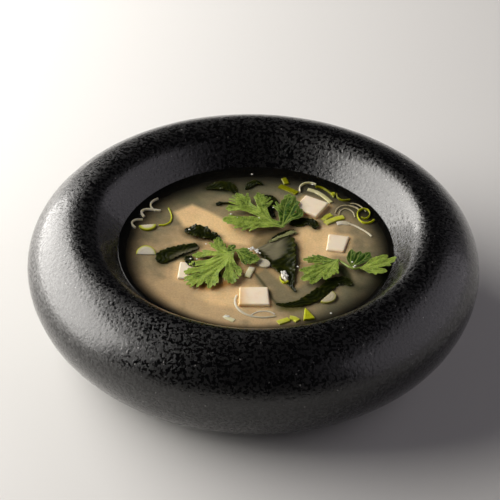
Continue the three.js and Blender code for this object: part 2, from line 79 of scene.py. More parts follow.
class Slot(Enum):
    """The record's material slots."""

    STONEWARE = "stoneware"
    SOUP = "soup"
    TOFU = "tofu"
    WAKAME = "wakame"
    CORIANDER = "coriander"
    SPRING_ONION = "spring_onion"


def linear(*display: float) -> Colour:
    """Turns red, green and blue display values of 0 to 255 into linear light."""
    shares = (value / 255 for value in display)
    return tuple(share / 12.92 if share <= 0.04045 else ((share + 0.055) / 1.055) ** 2.4 for share in shares)


def smooth_step(values: Array, low: float, high: float) -> Array:
    """Rises softly from 0 at low to 1 at high."""
    share = np.clip((values - low) / (high - low), 0, 1)
    return share * share * (3 - 2 * share)


def mixed(colour: Array, share: Array, other: Colour) -> Array:
    """Turns each point's colour towards another by its share."""
    return colour + share[:, None] * (np.array(other) - colour)


# ---------------- node trees


class Nodes:
    """Adds and joins nodes in one tree, with sockets found by identifier, name or number."""

    def __init__(self, tree: NodeTree) -> None:
        """Starts on an empty tree."""
        self.tree = tree
        tree.nodes.clear()

    @staticmethod
    def pick(sockets: Sockets, key: str | int) -> Socket:
        """Finds a socket by its identifier, name or number."""
        return {socket.identifier: socket for socket in sockets}.get(key) or sockets[key]

    def add(self, kind: str, inputs: Inputs | None = None, **settings: object) -> bpy.types.Node:
        """Adds a node.

        Args:
            kind: The node's type.
            inputs: For each input a value, or an output socket to join to it.
            settings: The node's own properties.

        Returns:
            The new node.
        """
        node = self.tree.nodes.new(kind)
        for key, value in settings.items():
            setattr(node, key, value)
        for key, value in (inputs or {}).items():
            target = self.pick(node.inputs, key)
            if isinstance(value, Socket):
                self.tree.links.new(value, target)
            else:
                target.default_value = (*value, 1) if target.type == "RGBA" else value
        return node

    def math(self, operation: str, first: object, second: object = 0.0, third: object = 0.0) -> Socket:
        """A sum, product or other operation on numbers."""
        inputs = {0: first, 1: second, 2: third}
        return self.add("ShaderNodeMath", inputs, operation=operation).outputs[0]

    def limited(self, value: Socket) -> Socket:
        """A number kept between 0 and 1."""
        return self.math("MINIMUM", self.math("MAXIMUM", value, 0.0), 1.0)

    def scaled(self, vector: Socket, factor: Socket) -> Socket:
        """A vector or colour times a number."""
        return self.add("ShaderNodeVectorMath", {0: vector, "Scale": factor}, operation="SCALE").outputs[0]

    def blend(self, share: Socket, first: object, second: object) -> Socket:
        """A colour between two."""
        inputs = {"Factor_Float": share, "A_Color": first, "B_Color": second}
        return self.pick(self.add("ShaderNodeMix", inputs, data_type="RGBA").outputs, "Result_Color")

    def span(self, value: Socket, low: float, high: float, start: object = 0.0, end: float = 1.0) -> Socket:
        """A number that runs softly from start to end while value runs from low to high."""
        inputs = {"Value": value, "From Min": low, "From Max": high, "To Min": start, "To Max": end}
        return self.add("ShaderNodeMapRange", inputs, interpolation_type="SMOOTHSTEP").outputs[0]

    def grain(self, vector: Socket, fineness: object, detail: float, roughness: float = 0.5) -> Socket:
        """Noise with about so many features to the metre."""
        inputs = {"Vector": vector, "Scale": fineness, "Detail": detail, "Roughness": roughness}
        return self.add("ShaderNodeTexNoise", inputs).outputs[0]


class Group(Nodes):
    """A node group with named inputs and outputs, whose inputs are read from given."""

    def __init__(self, name: str, kind: str, inputs: Inputs, outputs: Inputs) -> None:
        """Starts a group.

        Args:
            name: The group's name.
            kind: The type of its tree.
            inputs: For each input its default, or a word for a socket without one.
            outputs: The same for each output.
        """
        super().__init__(bpy.data.node_groups.new(name, kind))
        for way, sockets in (("INPUT", inputs), ("OUTPUT", outputs)):
            for key, value in sockets.items():
                word = value if isinstance(value, str) else {int: "Int", float: "Float"}[type(value)]
                socket = self.tree.interface.new_socket(key, in_out=way, socket_type=f"NodeSocket{word}")
                if word != value:
                    socket.default_value = value
        self.given = self.add("NodeGroupInput").outputs

    def end(self, **outputs: Socket) -> NodeTree:
        """Joins the outputs and gives the finished tree."""
        self.add("NodeGroupOutput", outputs)
        return self.tree


def mottle_group() -> NodeTree:
    """Soft cloudy variation, the same on every finish but for its size.

    Returns:
        A group with the inputs Vector, Fineness and Strength, and the output Cloud, centred on 0.
    """
    inputs = {"Vector": "Vector", "Fineness": 200.0, "Strength": 1.0}
    group = Group("Mottle", "ShaderNodeTree", inputs, {"Cloud": 0.0})
    wide = group.grain(group.given["Vector"], group.given["Fineness"], detail=3.0, roughness=0.55)
    centred = group.math("SUBTRACT", wide, 0.5)
    return group.end(Cloud=group.math("MULTIPLY", centred, group.given["Strength"]))


def wet_group() -> NodeTree:
    """Fine wet relief for a Bump node.

    Returns:
        A group with the inputs Vector and Fineness, and the output Height.
    """
    group = Group("Wet relief", "ShaderNodeTree", {"Vector": "Vector", "Fineness": 600.0}, {"Height": 0.0})
    place, fineness = group.given["Vector"], group.given["Fineness"]
    coarse = group.grain(place, fineness, detail=1.0)
    fine = group.grain(place, group.math("MULTIPLY", fineness, 3.1), detail=2.0)
    return group.end(Height=group.math("MULTIPLY_ADD", fine, 0.3, coarse))


def glaze_group() -> NodeTree:
    """The blotched relief of a stoneware glaze.

    Returns:
        A group with the inputs Vector, Blotch Fineness and Relief Fineness, and the outputs
        Blotches, Flecks and Height.
    """
    inputs = {"Vector": "Vector", "Blotch Fineness": 700.0, "Relief Fineness": 500.0}
    group = Group("Glaze grain", "ShaderNodeTree", inputs, {"Blotches": 0.0, "Flecks": 0.0, "Height": 0.0})
    place, fineness = group.given["Vector"], group.given["Blotch Fineness"]
    blotches = group.span(group.grain(place, fineness, detail=4.0, roughness=0.62), 0.475, 0.508)
    flecked = group.grain(place, group.math("MULTIPLY", fineness, 1.3), detail=1.0)
    lumps = group.grain(place, group.given["Relief Fineness"], detail=3.0, roughness=0.64)
    height = group.math("MULTIPLY_ADD", blotches, -0.05, lumps)
    return group.end(Blotches=blotches, Flecks=group.span(flecked, 0.76, 0.79), Height=height)


@dataclass
class Groups:
    """The shader node groups, each built once."""

    mottle: NodeTree = field(default_factory=mottle_group)
    wet: NodeTree = field(default_factory=wet_group)
    glaze: NodeTree = field(default_factory=glaze_group)


# ---------------- finishes


class Coat(Nodes):
    """The nodes of one material, with the shared groups at hand."""

    def __init__(self, title: str, groups: Groups) -> None:
        """Starts a material.

        Args:
            title: The material's name.
            groups: The shared shader groups.
        """
        self.material = bpy.data.materials.new(title)
        self.material.use_nodes = True
        super().__init__(self.material.node_tree)
        self.groups = groups

    @cached_property
    def place(self) -> Socket:
        """The point on the object, in metres."""
        return self.add("ShaderNodeTexCoord").outputs["Object"]

    def read(self, name: str, output: str = "Fac") -> Socket:
        """A value kept at the mesh's points."""
        return self.add("ShaderNodeAttribute", attribute_name=name).outputs[output]

    def shared(self, group: NodeTree, **inputs: float) -> Sockets:
        """The outputs of a shared group, with _ for a space in its inputs' names."""
        given = {key.replace("_", " "): value for key, value in inputs.items()}
        return self.add("ShaderNodeGroup", {"Vector": self.place, **given}, node_tree=group).outputs

    def cloud(self, fineness: float, strength: float) -> Socket:
        """Soft mottling, centred on 0."""
        return self.shared(self.groups.mottle, Fineness=fineness, Strength=strength)["Cloud"]

    def wet(self, fineness: float) -> Socket:
        """The height of a wet surface's fine relief."""
        return self.shared(self.groups.wet, Fineness=fineness)["Height"]

    def bump(self, height: Socket, depth: float) -> Socket:
        """A normal from a height whose unit is depth millimetres."""
        inputs = {"Height": height, "Distance": depth * MM, "Strength": 1.0}
        return self.add("ShaderNodeBump", inputs).outputs[0]


def glowing(weight: float, radius: Colour, depth: float) -> Inputs:
    """The shader's inputs for light that passes under the surface, depth in millimetres."""
    return {"Subsurface Weight": weight, "Subsurface Radius": radius, "Subsurface Scale": depth * MM}


class Finish(ABC):
    """A finish, which becomes one material."""

    title: ClassVar[str]

    @abstractmethod
    def dress(self, coat: Coat) -> Inputs:
        """Gives the shader's inputs, and adds the nodes that vary them."""

    def build(self, groups: Groups) -> Material:
        """Makes the material.

        Args:
            groups: The shared shader groups.

        Returns:
            The material.
        """
        coat = Coat(self.title, groups)
        shader = coat.add("ShaderNodeBsdfPrincipled", self.dress(coat))
        coat.add("ShaderNodeOutputMaterial", {"Surface": shader.outputs[0]})
        return coat.material


@dataclass(frozen=True)
class StonewareGlaze(Finish):
    """Black gloss over a softer grey sheen that breaks up into small irregular glossy blotches."""

    title: ClassVar[str] = "Black stoneware glaze"
    body: Colour = (0.001, 0.0009, 0.001)
    fleck: Colour = (0.3, 0.29, 0.28)
    gloss_between: float = 1.0
    gloss_on_blotch: float = 0.05
    gloss_index: float = 1.24
    gloss_roughness: float = 0.06
    sheen: float = 0.62
    sheen_roughness: float = 0.385
    sheen_swing: float = 0.12
    mottle_fineness: float = 60.0
    mottle_strength: float = 0.5
    blotch_roughness: float = 0.08
    blotch_size: float = 1.55
    relief_size: float = 1.7
    relief_depth: float = 0.3

    def dress(self, coat: Coat) -> Inputs:
        """Gives the shader's inputs.

        Args:
            coat: The material's nodes.

        Returns:
            The inputs.
        """
        glaze = coat.shared(
            coat.groups.glaze, Blotch_Fineness=1000 / self.blotch_size,
            Relief_Fineness=1000 / self.relief_size)
        cloud = coat.cloud(self.mottle_fineness, self.mottle_strength)
        soft = coat.math("MULTIPLY_ADD", cloud, self.sheen_swing, self.sheen_roughness)
        return {
            "Base Color": coat.blend(glaze["Flecks"], self.body, self.fleck),
            "Roughness": coat.span(glaze["Blotches"], 0.0, 1.0, soft, self.blotch_roughness),
            "Normal": coat.bump(glaze["Height"], self.relief_depth),
            "Coat Weight": coat.span(glaze["Blotches"], 0.0, 1.0, self.gloss_between, self.gloss_on_blotch),
            "Coat Roughness": self.gloss_roughness, "Coat IOR": self.gloss_index,
            "Specular IOR Level": self.sheen,
        }


@dataclass(frozen=True)
class Moist(Finish):
    """A moist, mottled finish with fine wet relief, which lets some light pass under its surface."""

    roughness: float = 0.4
    index: float = 1.5
    shine: float = 0.5
    film: float = 0.0
    film_roughness: float = 0.1
    mottle_fineness: float = 260.0
    mottle_strength: float = 1.5
    relief_size: float = 0.9
    relief_depth: float = 0.05
    glow: float = 0.2
    glow_radius: Colour = (1.0, 1.0, 1.0)
    glow_depth: float = 3.0

    @abstractmethod
    def colour(self, coat: Coat, cloud: Socket) -> Socket:
        """Gives the colour, varied by the mottling."""

    def relief(self, coat: Coat) -> Socket:
        """The height of the wet relief."""
        return coat.wet(1000 / self.relief_size)

    def dress(self, coat: Coat) -> Inputs:
        """Gives the shader's inputs.

        Args:
            coat: The material's nodes.

        Returns:
            The inputs.
        """
        cloud = coat.cloud(self.mottle_fineness, self.mottle_strength)
        return {
            "Base Color": self.colour(coat, cloud), "Roughness": self.roughness, "IOR": self.index,
            "Specular IOR Level": self.shine, "Normal": coat.bump(self.relief(coat), self.relief_depth),
            "Coat Weight": self.film, "Coat Roughness": self.film_roughness,
            **glowing(self.glow, self.glow_radius, self.glow_depth),
        }


@dataclass(frozen=True)
class MisoBroth(Moist):
    """Cloudy broth, glossy on top, tinted at its points by what lies under it and by painted light and
    shade.
    """

    title: ClassVar[str] = "Miso broth"
    roughness: float = 0.13
    index: float = 1.34
    mottle_fineness: float = 1000 / 6
    mottle_strength: float = 0.26
    grain_size: float = 0.9
    grain_strength: float = 0.5
    relief_size: float = 9.0
    glow: float = 0.5
    glow_radius: Colour = (1.0, 0.7, 0.45)

    def colour(self, coat: Coat, cloud: Socket) -> Socket:
        """Gives the tint, a little lighter or darker from place to place."""
        level = coat.math("ADD", cloud, coat.cloud(1000 / self.grain_size, self.grain_strength))
        return coat.scaled(coat.read("tint", "Color"), coat.math("ADD", level, 1.0))


@dataclass(frozen=True)
class TofuCurd(Moist):
    """Soft cream curd with fine pores, moist at the surface, and soaked where its field says so."""

    title: ClassVar[str] = "Tofu curd"
    curd: Colour = linear(252, 232, 206)
    soaked: Colour = linear(226, 186, 124)
    roughness: float = 0.38
    film: float = 0.15
    film_roughness: float = 0.15
    mottle_strength: float = 0.7
    glow: float = 0.4
    glow_radius: Colour = (1.0, 0.75, 0.45)

    def colour(self, coat: Coat, cloud: Socket) -> Socket:
        """Gives the colour between dry and soaked curd."""
        soak = coat.math("MAXIMUM", coat.math("ADD", coat.read("soak"), cloud), 0.0)
        return coat.blend(soak, self.curd, self.soaked)


@dataclass(frozen=True)
class WakameSkin(Moist):
    """Wet, nearly black green seaweed, with a thin milky film where it lies just under the broth."""

    title: ClassVar[str] = "Wakame skin"
    dark: Colour = linear(17, 23, 0)
    light: Colour = linear(80, 82, 8)
    milky: Colour = linear(118, 113, 89)
    pale: Colour = linear(150, 152, 104)
    edge_light: float = 0.25
    roughness: float = 0.36
    shine: float = 0.12
    film: float = 0.06
    film_roughness: float = 0.12
    mottle_fineness: float = 350.0
    mottle_strength: float = 1.0
    relief_size: float = 1.3
    relief_depth: float = 0.07
    glow: float = 0.08
    glow_radius: Colour = (0.6, 1.0, 0.2)
    glow_depth: float = 0.6

    def colour(self, coat: Coat, cloud: Socket) -> Socket:
        """Gives the green, lighter at the thin edges, under its olive and milky places.

        Args:
            coat: The material's nodes.
            cloud: The mottling.

        Returns:
            The colour.
        """
        thin = coat.math("POWER", coat.math("ABSOLUTE", coat.read("across")), 3.0)
        lit = coat.math("ADD", coat.math("MULTIPLY", thin, self.edge_light), cloud)
        green = coat.blend(coat.math("MAXIMUM", lit, 0.0), self.dark, self.light)
        return coat.blend(coat.read("film"), coat.blend(coat.read("olive"), green, self.pale), self.milky)

    def relief(self, coat: Coat) -> Socket:
        """The height of the wet relief, smooth under the milky film."""
        bare = coat.math("SUBTRACT", 1.0, coat.read("film"))
        return coat.math("MULTIPLY", super().relief(coat), bare)


@dataclass(frozen=True)
class CorianderLeaf(Moist):
    """A fresh leaf: paler veins, a painted lit side and a painted shaded side, and a soft waxy sheen."""

    title: ClassVar[str] = "Coriander leaf"
    dark: Colour = linear(22, 58, 0)
    light: Colour = linear(148, 168, 70)
    vein: Colour = linear(176, 194, 100)
    vein_share: float = 0.55
    edge_share: float = 0.35
    shine: float = 0.16
    fine_fineness: float = 1100.0
    relief_depth: float = 0.2
    glow_radius: Colour = (0.5, 1.0, 0.15)
    glow_depth: float = 0.8

    def colour(self, coat: Coat, cloud: Socket) -> Socket:
        """Gives the green between the painted shaded and lit sides, under its veins and pale edge.

        Args:
            coat: The material's nodes.
            cloud: The mottling.

        Returns:
            The colour.
        """
        fine = coat.cloud(self.fine_fineness, self.mottle_strength)
        tone = coat.math("ADD", coat.math("ADD", coat.read("tone"), cloud), fine)
        colour = coat.blend(coat.limited(tone), self.dark, self.light)
        for name, share in (("vein", self.vein_share), ("edge", self.edge_share)):
            colour = coat.blend(coat.math("MULTIPLY", coat.read(name), share), colour, self.vein)
        return colour


@dataclass(frozen=True)
class OnionFlesh(Moist):
    """Moist spring onion from white through lime to olive, by how green and how steeped it is."""

    title: ClassVar[str] = "Spring onion flesh"
    white: Colour = linear(222, 214, 194)
    lime: Colour = linear(190, 194, 34)
    olive: Colour = linear(112, 112, 0)
    steeped: Colour = linear(156, 144, 112)
    roughness: float = 0.3
    shine: float = 0.2
    film: float = 0.2
    mottle_fineness: float = 500.0
    mottle_strength: float = 0.3
    relief_size: float = 0.625
    relief_depth: float = 0.04
    glow: float = 0.45
    glow_radius: Colour = (1.0, 1.0, 0.6)
    glow_depth: float = 1.2

    def colour(self, coat: Coat, cloud: Socket) -> Socket:
        """Gives the green, under the broth's colour where it is steeped.

        Args:
            coat: The material's nodes.
            cloud: The mottling.

        Returns:
            The colour.
        """
        green = coat.math("ADD", coat.read("green"), cloud)
        low = coat.blend(coat.span(green, 0.0, 0.65), self.white, self.lime)
        fresh = coat.blend(coat.span(green, 0.6, 1.0), low, self.olive)
        return coat.blend(coat.read("steeped"), fresh, self.steeped)


@dataclass(frozen=True)
class CorianderStalk(Finish):
    """A pale green stalk, darker in soft streaks."""

    title: ClassVar[str] = "Coriander stalk"
    colour: Colour = linear(150, 168, 74)
    shade: Colour = linear(98, 120, 32)
    shade_share: float = 0.4
    mottle_fineness: float = 500.0
    mottle_strength: float = 1.6

    def dress(self, coat: Coat) -> Inputs:
        """Gives the shader's inputs."""
        share = coat.math("ADD", coat.cloud(self.mottle_fineness, self.mottle_strength), self.shade_share)
        colour = coat.blend(share, self.colour, self.shade)
        return {"Base Color": colour, "Roughness": 0.35, "Coat Weight": 0.2}


@dataclass(frozen=True)
class FoamSkin(Finish):
    """The thin white skin of small bubbles."""

    title: ClassVar[str] = "Foam skin"
    white: Colour = linear(232, 230, 220)

    def dress(self, coat: Coat) -> Inputs:
        """Gives the shader's inputs."""
        gloss = {"Roughness": 0.2, "Coat Weight": 0.4, "Coat Roughness": 0.06}
        return {"Base Color": self.white, **gloss, **glowing(0.4, (1.0, 1.0, 0.9), 0.5)}


@dataclass(frozen=True)
class StudioPaper(Finish):
    """Plain pale paper."""

    title: ClassVar[str] = "Pale studio paper"
    colour: Colour = (0.72, 0.71, 0.69)
    fibre: Colour = (0.6, 0.6, 0.6)
    fibre_share: float = 0.06
    fibre_fineness: float = 250.0
    roughness: float = 0.85

    def dress(self, coat: Coat) -> Inputs:
        """Gives the shader's inputs."""
        fibre = coat.grain(coat.place, self.fibre_fineness, detail=3.0)
        share = coat.math("MULTIPLY", fibre, self.fibre_share)
        return {"Base Color": coat.blend(share, self.colour, self.fibre), "Roughness": self.roughness}


# ---------------- meshes


def linked(name: str, data: bpy.types.ID) -> Item:
    """Makes an object of a mesh, light or camera and links it to the scene.

    Args:
        name: The object's name.
        data: What it shows.

    Returns:
        The new object.
    """
    made = bpy.data.objects.new(name, data)
    bpy.context.scene.collection.objects.link(made)
    return made


def new_piece(
    name: str, points: Array, faces: list, material: Material | None = None,
    fields: Fields | None = None, closed: bool = True,
) -> Item:
    """Makes a smooth mesh object at the origin.

    Args:
        name: The object's name.
        points: Rows of x, y and z, in millimetres.
        faces: Point numbers of each face.
        material: Its finish.
        fields: Numbers or colours kept at the points.
        closed: Turn the faces of a closed mesh outwards.

    Returns:
        The new object.
    """
    mesh = bpy.data.meshes.new(name)
    mesh.from_pydata((np.asarray(points) * MM).tolist(), [], [list(map(int, face)) for face in faces])
    for key, values in (fields or {}).items():
        coloured = values.ndim > 1
        kept = mesh.attributes.new(key, "FLOAT_COLOR" if coloured else "FLOAT", "POINT")
        if coloured:
            values = np.column_stack([values, np.ones(len(values))])
        values = np.ascontiguousarray(values, np.float32).ravel()
        kept.data.foreach_set("color" if coloured else "value", values)
    if closed:
        shape = bmesh.new()
        shape.from_mesh(mesh)
        bmesh.ops.recalc_face_normals(shape, faces=shape.faces)
        shape.to_mesh(mesh)
        shape.free()
    mesh.shade_smooth()
    if material:
        mesh.materials.append(material)
    return linked(name, mesh)


def settle(piece: Item, slot: Slot, *nodes: str) -> None:
    """Fixes a finished piece to the frame's one body.

    Args:
        piece: The piece.
        slot: Not used.
        nodes: The frame's nodes that it stands for.
    """
    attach(piece, BODY)
    if nodes:
        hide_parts(*nodes)
    log.info("%s: %d faces", piece.name, len(piece.data.polygons))


def turned(profile: Array, segments: int) -> tuple[Array, list]:
    """Turns a profile about the Z axis into a closed shell.

    Args:
        profile: Rows of radius, height and shift to +X, from the axis back to the axis.
        segments: Steps round the axis.

    Returns:
        The points and faces.
    """
    turn = np.arange(segments) * 2 * math.pi / segments
    radius, height, shift = (profile[1:-1, k:k + 1] for k in range(3))
    middle = np.stack([radius * np.cos(turn) + shift, radius * np.sin(turn), height + 0 * turn], -1)
    middle = middle.reshape(-1, 3)
    here = np.arange(len(middle)).reshape(-1, segments)
    ahead = np.roll(here, -1, axis=1)
    faces = np.stack([here[:-1], ahead[:-1], ahead[1:], here[1:]], -1).reshape(-1, 4).tolist()
    faces += [[len(middle), b, a] for a, b in zip(here[0], ahead[0])]
    faces += [[len(middle) + 1, a, b] for a, b in zip(here[-1], ahead[-1])]
    return np.vstack([middle, [[profile[k, 2], 0, profile[k, 1]] for k in (0, -1)]]), faces


def slab(upper: Array, lower: Array) -> tuple[Array, list]:
    """Closes two grids of points, one above the other, into a thin solid.

    Args:
        upper: Rows of rows of points on the upper face.
        lower: The same points on the lower face.

    Returns:
        The points, upper face first, and the faces.
    """
    rows, across = upper.shape[:2]
    below = rows * across
    number = np.arange(below).reshape(rows, across)
    quads = np.stack([number[:-1, :-1], number[1:, :-1], number[1:, 1:], number[:-1, 1:]], -1).reshape(-1, 4)
    rim = np.concatenate([number[:-1, 0], number[-1, :-1], number[:0:-1, -1], number[0, :0:-1]])
    after = np.roll(rim, -1)
    walls = np.column_stack([rim, rim + below, after + below, after])
    faces = np.vstack([quads, quads[:, ::-1] + below, walls])
    return np.vstack([upper.reshape(-1, 3), lower.reshape(-1, 3)]), faces.tolist()


def spline(points: Array, count: int) -> Array:
    """Points along a centripetal Catmull-Rom curve.

    Args:
        points: Rows that start with x, y and z; more columns are carried along.
        count: How many points to return.

    Returns:
        Rows like those given, evenly spread in the curve's parameter.
    """
    padded = np.vstack([2 * points[0] - points[1], points, 2 * points[-1] - points[-2]])
    place = np.linspace(0, len(points) - 1, count)
    step = np.minimum(place.astype(int), len(points) - 2)
    share = (place - step)[:, None]
    p0, p1, p2, p3 = (padded[step + k] for k in range(4))

    def chord(start: Array, end: Array) -> Array:
        """Square root of the distance between points."""
        return np.sqrt(np.linalg.norm((end - start)[:, :3], axis=1, keepdims=True))

    d0, d1, d2 = chord(p0, p1), chord(p1, p2), chord(p2, p3)
    leave = ((p1 - p0) / d0 - (p2 - p0) / (d0 + d1) + (p2 - p1) / d1) * d1
    arrive = ((p2 - p1) / d1 - (p3 - p1) / (d1 + d2) + (p3 - p2) / d2) * d1
    bend = -3 * p1 + 3 * p2 - 2 * leave - arrive
    twist = 2 * p1 - 2 * p2 + leave + arrive
    return p1 + share * (leave + share * (bend + share * twist))


def trimmed_grid(depth: Array) -> tuple[Array, list]:
    """Cuts a square grid along the line where a depth is 0, keeping the side where it is positive.

    Args:
        depth: The depth at each grid point.

    Returns:
        The kept points in grid steps, and the faces between them.
    """
    inside = depth > 0
    touched = inside[:-1, :-1] | inside[1:, :-1] | inside[1:, 1:] | inside[:-1, 1:]
    places: dict[tuple, Point] = {}
    faces = []
    for i, j in np.argwhere(touched).tolist():
        corners = [(i, j), (i + 1, j), (i + 1, j + 1), (i, j + 1)]
        face = []
        for here, ahead in zip(corners, corners[1:] + corners[:1]):
            if inside[here]:
                face.append(here)
                places[here] = here
            if inside[here] != inside[ahead]:
                first, last = sorted((here, ahead))
                share = min(max(depth[first] / (depth[first] - depth[last]), 0.1), 0.9)
                face.append((first, last))
                places[first, last] = tuple(a + share * (b - a) for a, b in zip(first, last))
        faces.append(face)
    number = {key: count for count, key in enumerate(places)}
    return np.array(list(places.values()), float), [[number[key] for key in face] for face in faces]


def backed(faces: list, count: int) -> list:
    """Closes a sheet with a second one behind it, whose points are numbered on by count.

    Args:
        faces: The sheet's faces.
        count: How many points the sheet has.

    Returns:
        The faces of both sheets and of the rim between them.
    """
    edges = {(a, b) for face in faces for a, b in zip(face, face[1:] + face[:1])}
    rim = [[b, a, a + count, b + count] for a, b in edges if (b, a) not in edges]
    return faces + [[point + count for point in reversed(face)] for face in faces] + sorted(rim)


# ---------------- geometry node trees


class Modelled(Group):
    """A geometry node tree that is run on an object once, and leaves a plain mesh."""

    def __init__(self, name: str, numbers: dict[str, float | int]) -> None:
        """Starts a tree.

        Args:
            name: The tree's name.
            numbers: Its named number inputs, whole or not, with their defaults.
        """
        inputs = {"Geometry": "Geometry", **numbers, "Finish": "Material"}
        super().__init__(name, "GeometryNodeTree", inputs, {"Geometry": "Geometry"})
        self.tree.is_modifier = True

    def place(self) -> Socket:
        """Each point's place."""
        return self.add("GeometryNodeInputPosition").outputs[0]

    def wander(self, fineness: object, detail: float, roughness: float = 0.5) -> Sockets:
        """The outputs of noise that the seed changes."""
        inputs = {"Vector": self.place(), "W": self.given["Seed"], "Scale": fineness, "Detail": detail,
                  "Roughness": roughness}
        return self.add("ShaderNodeTexNoise", inputs, noise_dimensions="4D").outputs

    def shifted(self, geometry: Socket, way: Socket, amount: Socket) -> Socket:
        """The geometry with each point moved along a vector by an amount."""
        inputs = {"Geometry": geometry, "Offset": self.scaled(way, amount)}
        return self.add("GeometryNodeSetPosition", inputs).outputs[0]

    def close(self, geometry: Socket) -> None:
        """Ends the tree in Realize Instances and Set Material.

        Args:
            geometry: What the tree has made.
        """
        real = self.add("GeometryNodeRealizeInstances", {"Geometry": geometry}).outputs[0]
        soft = self.add("GeometryNodeSetShadeSmooth", {"Geometry": real}).outputs[0]
        inputs = {"Geometry": soft, "Material": self.given["Finish"]}
        self.end(Geometry=self.add("GeometryNodeSetMaterial", inputs).outputs[0])

    def run(self, piece: Item, material: Material, **numbers: float) -> Item:
        """Runs the tree on an object and keeps the result as its mesh.

        Args:
            piece: The object to work on.
            material: The result's finish.
            numbers: Values for the named inputs, with _ for a space in a name.

        Returns:
            The same object.
        """
        modifier = piece.modifiers.new(self.tree.name, "NODES")
        modifier.node_group = self.tree
        values = {key.replace("_", " "): value for key, value in numbers.items()} | {"Finish": material}
        for item in self.tree.interface.items_tree:
            if item.in_out == "INPUT" and item.name in values:
                modifier[item.identifier] = values[item.name]
        piece.update_tag()
        graph = bpy.context.evaluated_depsgraph_get()
        made = bpy.data.meshes.new_from_object(
            piece.evaluated_get(graph), preserve_all_data_layers=True, depsgraph=graph)
        piece.modifiers.clear()
        piece.data = made
        return piece


def thrown_tree() -> Modelled:
    """The slight unevenness of a bowl thrown by hand, pressed inwards only.

    Returns:
        A tree with the inputs Press Depth, Press Size, Still Below and Seed.
    """
    fade_height = 6 * MM
    tree = Modelled("Thrown unevenness", {
        "Press Depth": 0.3 * MM, "Press Size": 20 * MM, "Still Below": 4 * MM, "Seed": 7,
    })
    given = tree.given
    normal = tree.add("GeometryNodeInputNormal").outputs[0]
    fineness = tree.math("DIVIDE", 1.0, given["Press Size"])
    pressed = tree.wander(fineness, detail=3.0, roughness=0.55)[0]
    height = tree.add("ShaderNodeSeparateXYZ", {0: tree.place()}).outputs["Z"]
    above = tree.math("SUBTRACT", height, given["Still Below"])
    free = tree.limited(tree.math("MULTIPLY", above, 1 / fade_height))
    depth = tree.math("MULTIPLY", tree.math("MULTIPLY", pressed, given["Press Depth"]), free)
    tree.close(tree.shifted(given["Geometry"], normal, tree.math("MULTIPLY", depth, -1.0)))
    return tree


def strip_tree() -> Modelled:
    """A strip of soft rectangular section swept along a line, standing upright.

    Returns:
        A tree with the inputs Width, Height, Corner, Taper, Waver, Steps and Seed.
    """
    tree = Modelled("Strip along a line", {
        "Width": 1 * MM, "Height": 1 * MM, "Corner": 0.2 * MM, "Taper": 0.3, "Waver": 0.0,
        "Steps": 60, "Seed": 3,
    })
    given = tree.given
    line = tree.add("GeometryNodeMeshToCurve", {"Mesh": given["Geometry"]}).outputs[0]
    line = tree.add("GeometryNodeResampleCurve", {"Curve": line, "Count": given["Steps"]}).outputs[0]
    share = tree.add("GeometryNodeSplineParameter").outputs["Factor"]
    from_middle = tree.math("ABSOLUTE", tree.math("MULTIPLY_ADD", share, 2.0, -1.0))
    narrowing = tree.math("MULTIPLY", tree.math("POWER", from_middle, 3.5), given["Taper"])
    radius = tree.math("SUBTRACT", 1.0, narrowing)
    kept = {"Geometry": line, "Name": "along", "Value": share}
    line = tree.add("GeometryNodeStoreNamedAttribute", kept, data_type="FLOAT", domain="POINT").outputs[0]
    line = tree.add("GeometryNodeSetCurveRadius", {"Curve": line, "Radius": radius}).outputs[0]
    line = tree.add("GeometryNodeSetCurveNormal", {"Curve": line}, mode="Z_UP").outputs[0]
    size = {"Width": given["Width"], "Height": given["Height"]}
    section = tree.add("GeometryNodeCurvePrimitiveQuadrilateral", size).outputs[0]
    rounding = {"Curve": section, "Radius": given["Corner"], "Limit Radius": True, "Count": 3}
    section = tree.add("GeometryNodeFilletCurve", rounding, mode="POLY").outputs[0]
    sweep = tree.add("GeometryNodeCurveToMesh", {"Curve": line, "Profile Curve": section, "Fill Caps": True})
    uneven = {0: tree.wander(700.0, detail=2.0)["Color"], 1: (0.5, 0.5, 0.5)}
    centred = tree.add("ShaderNodeVectorMath", uneven, operation="SUBTRACT").outputs[0]
    tree.close(tree.shifted(sweep.outputs[0], centred, given["Waver"]))
    return tree


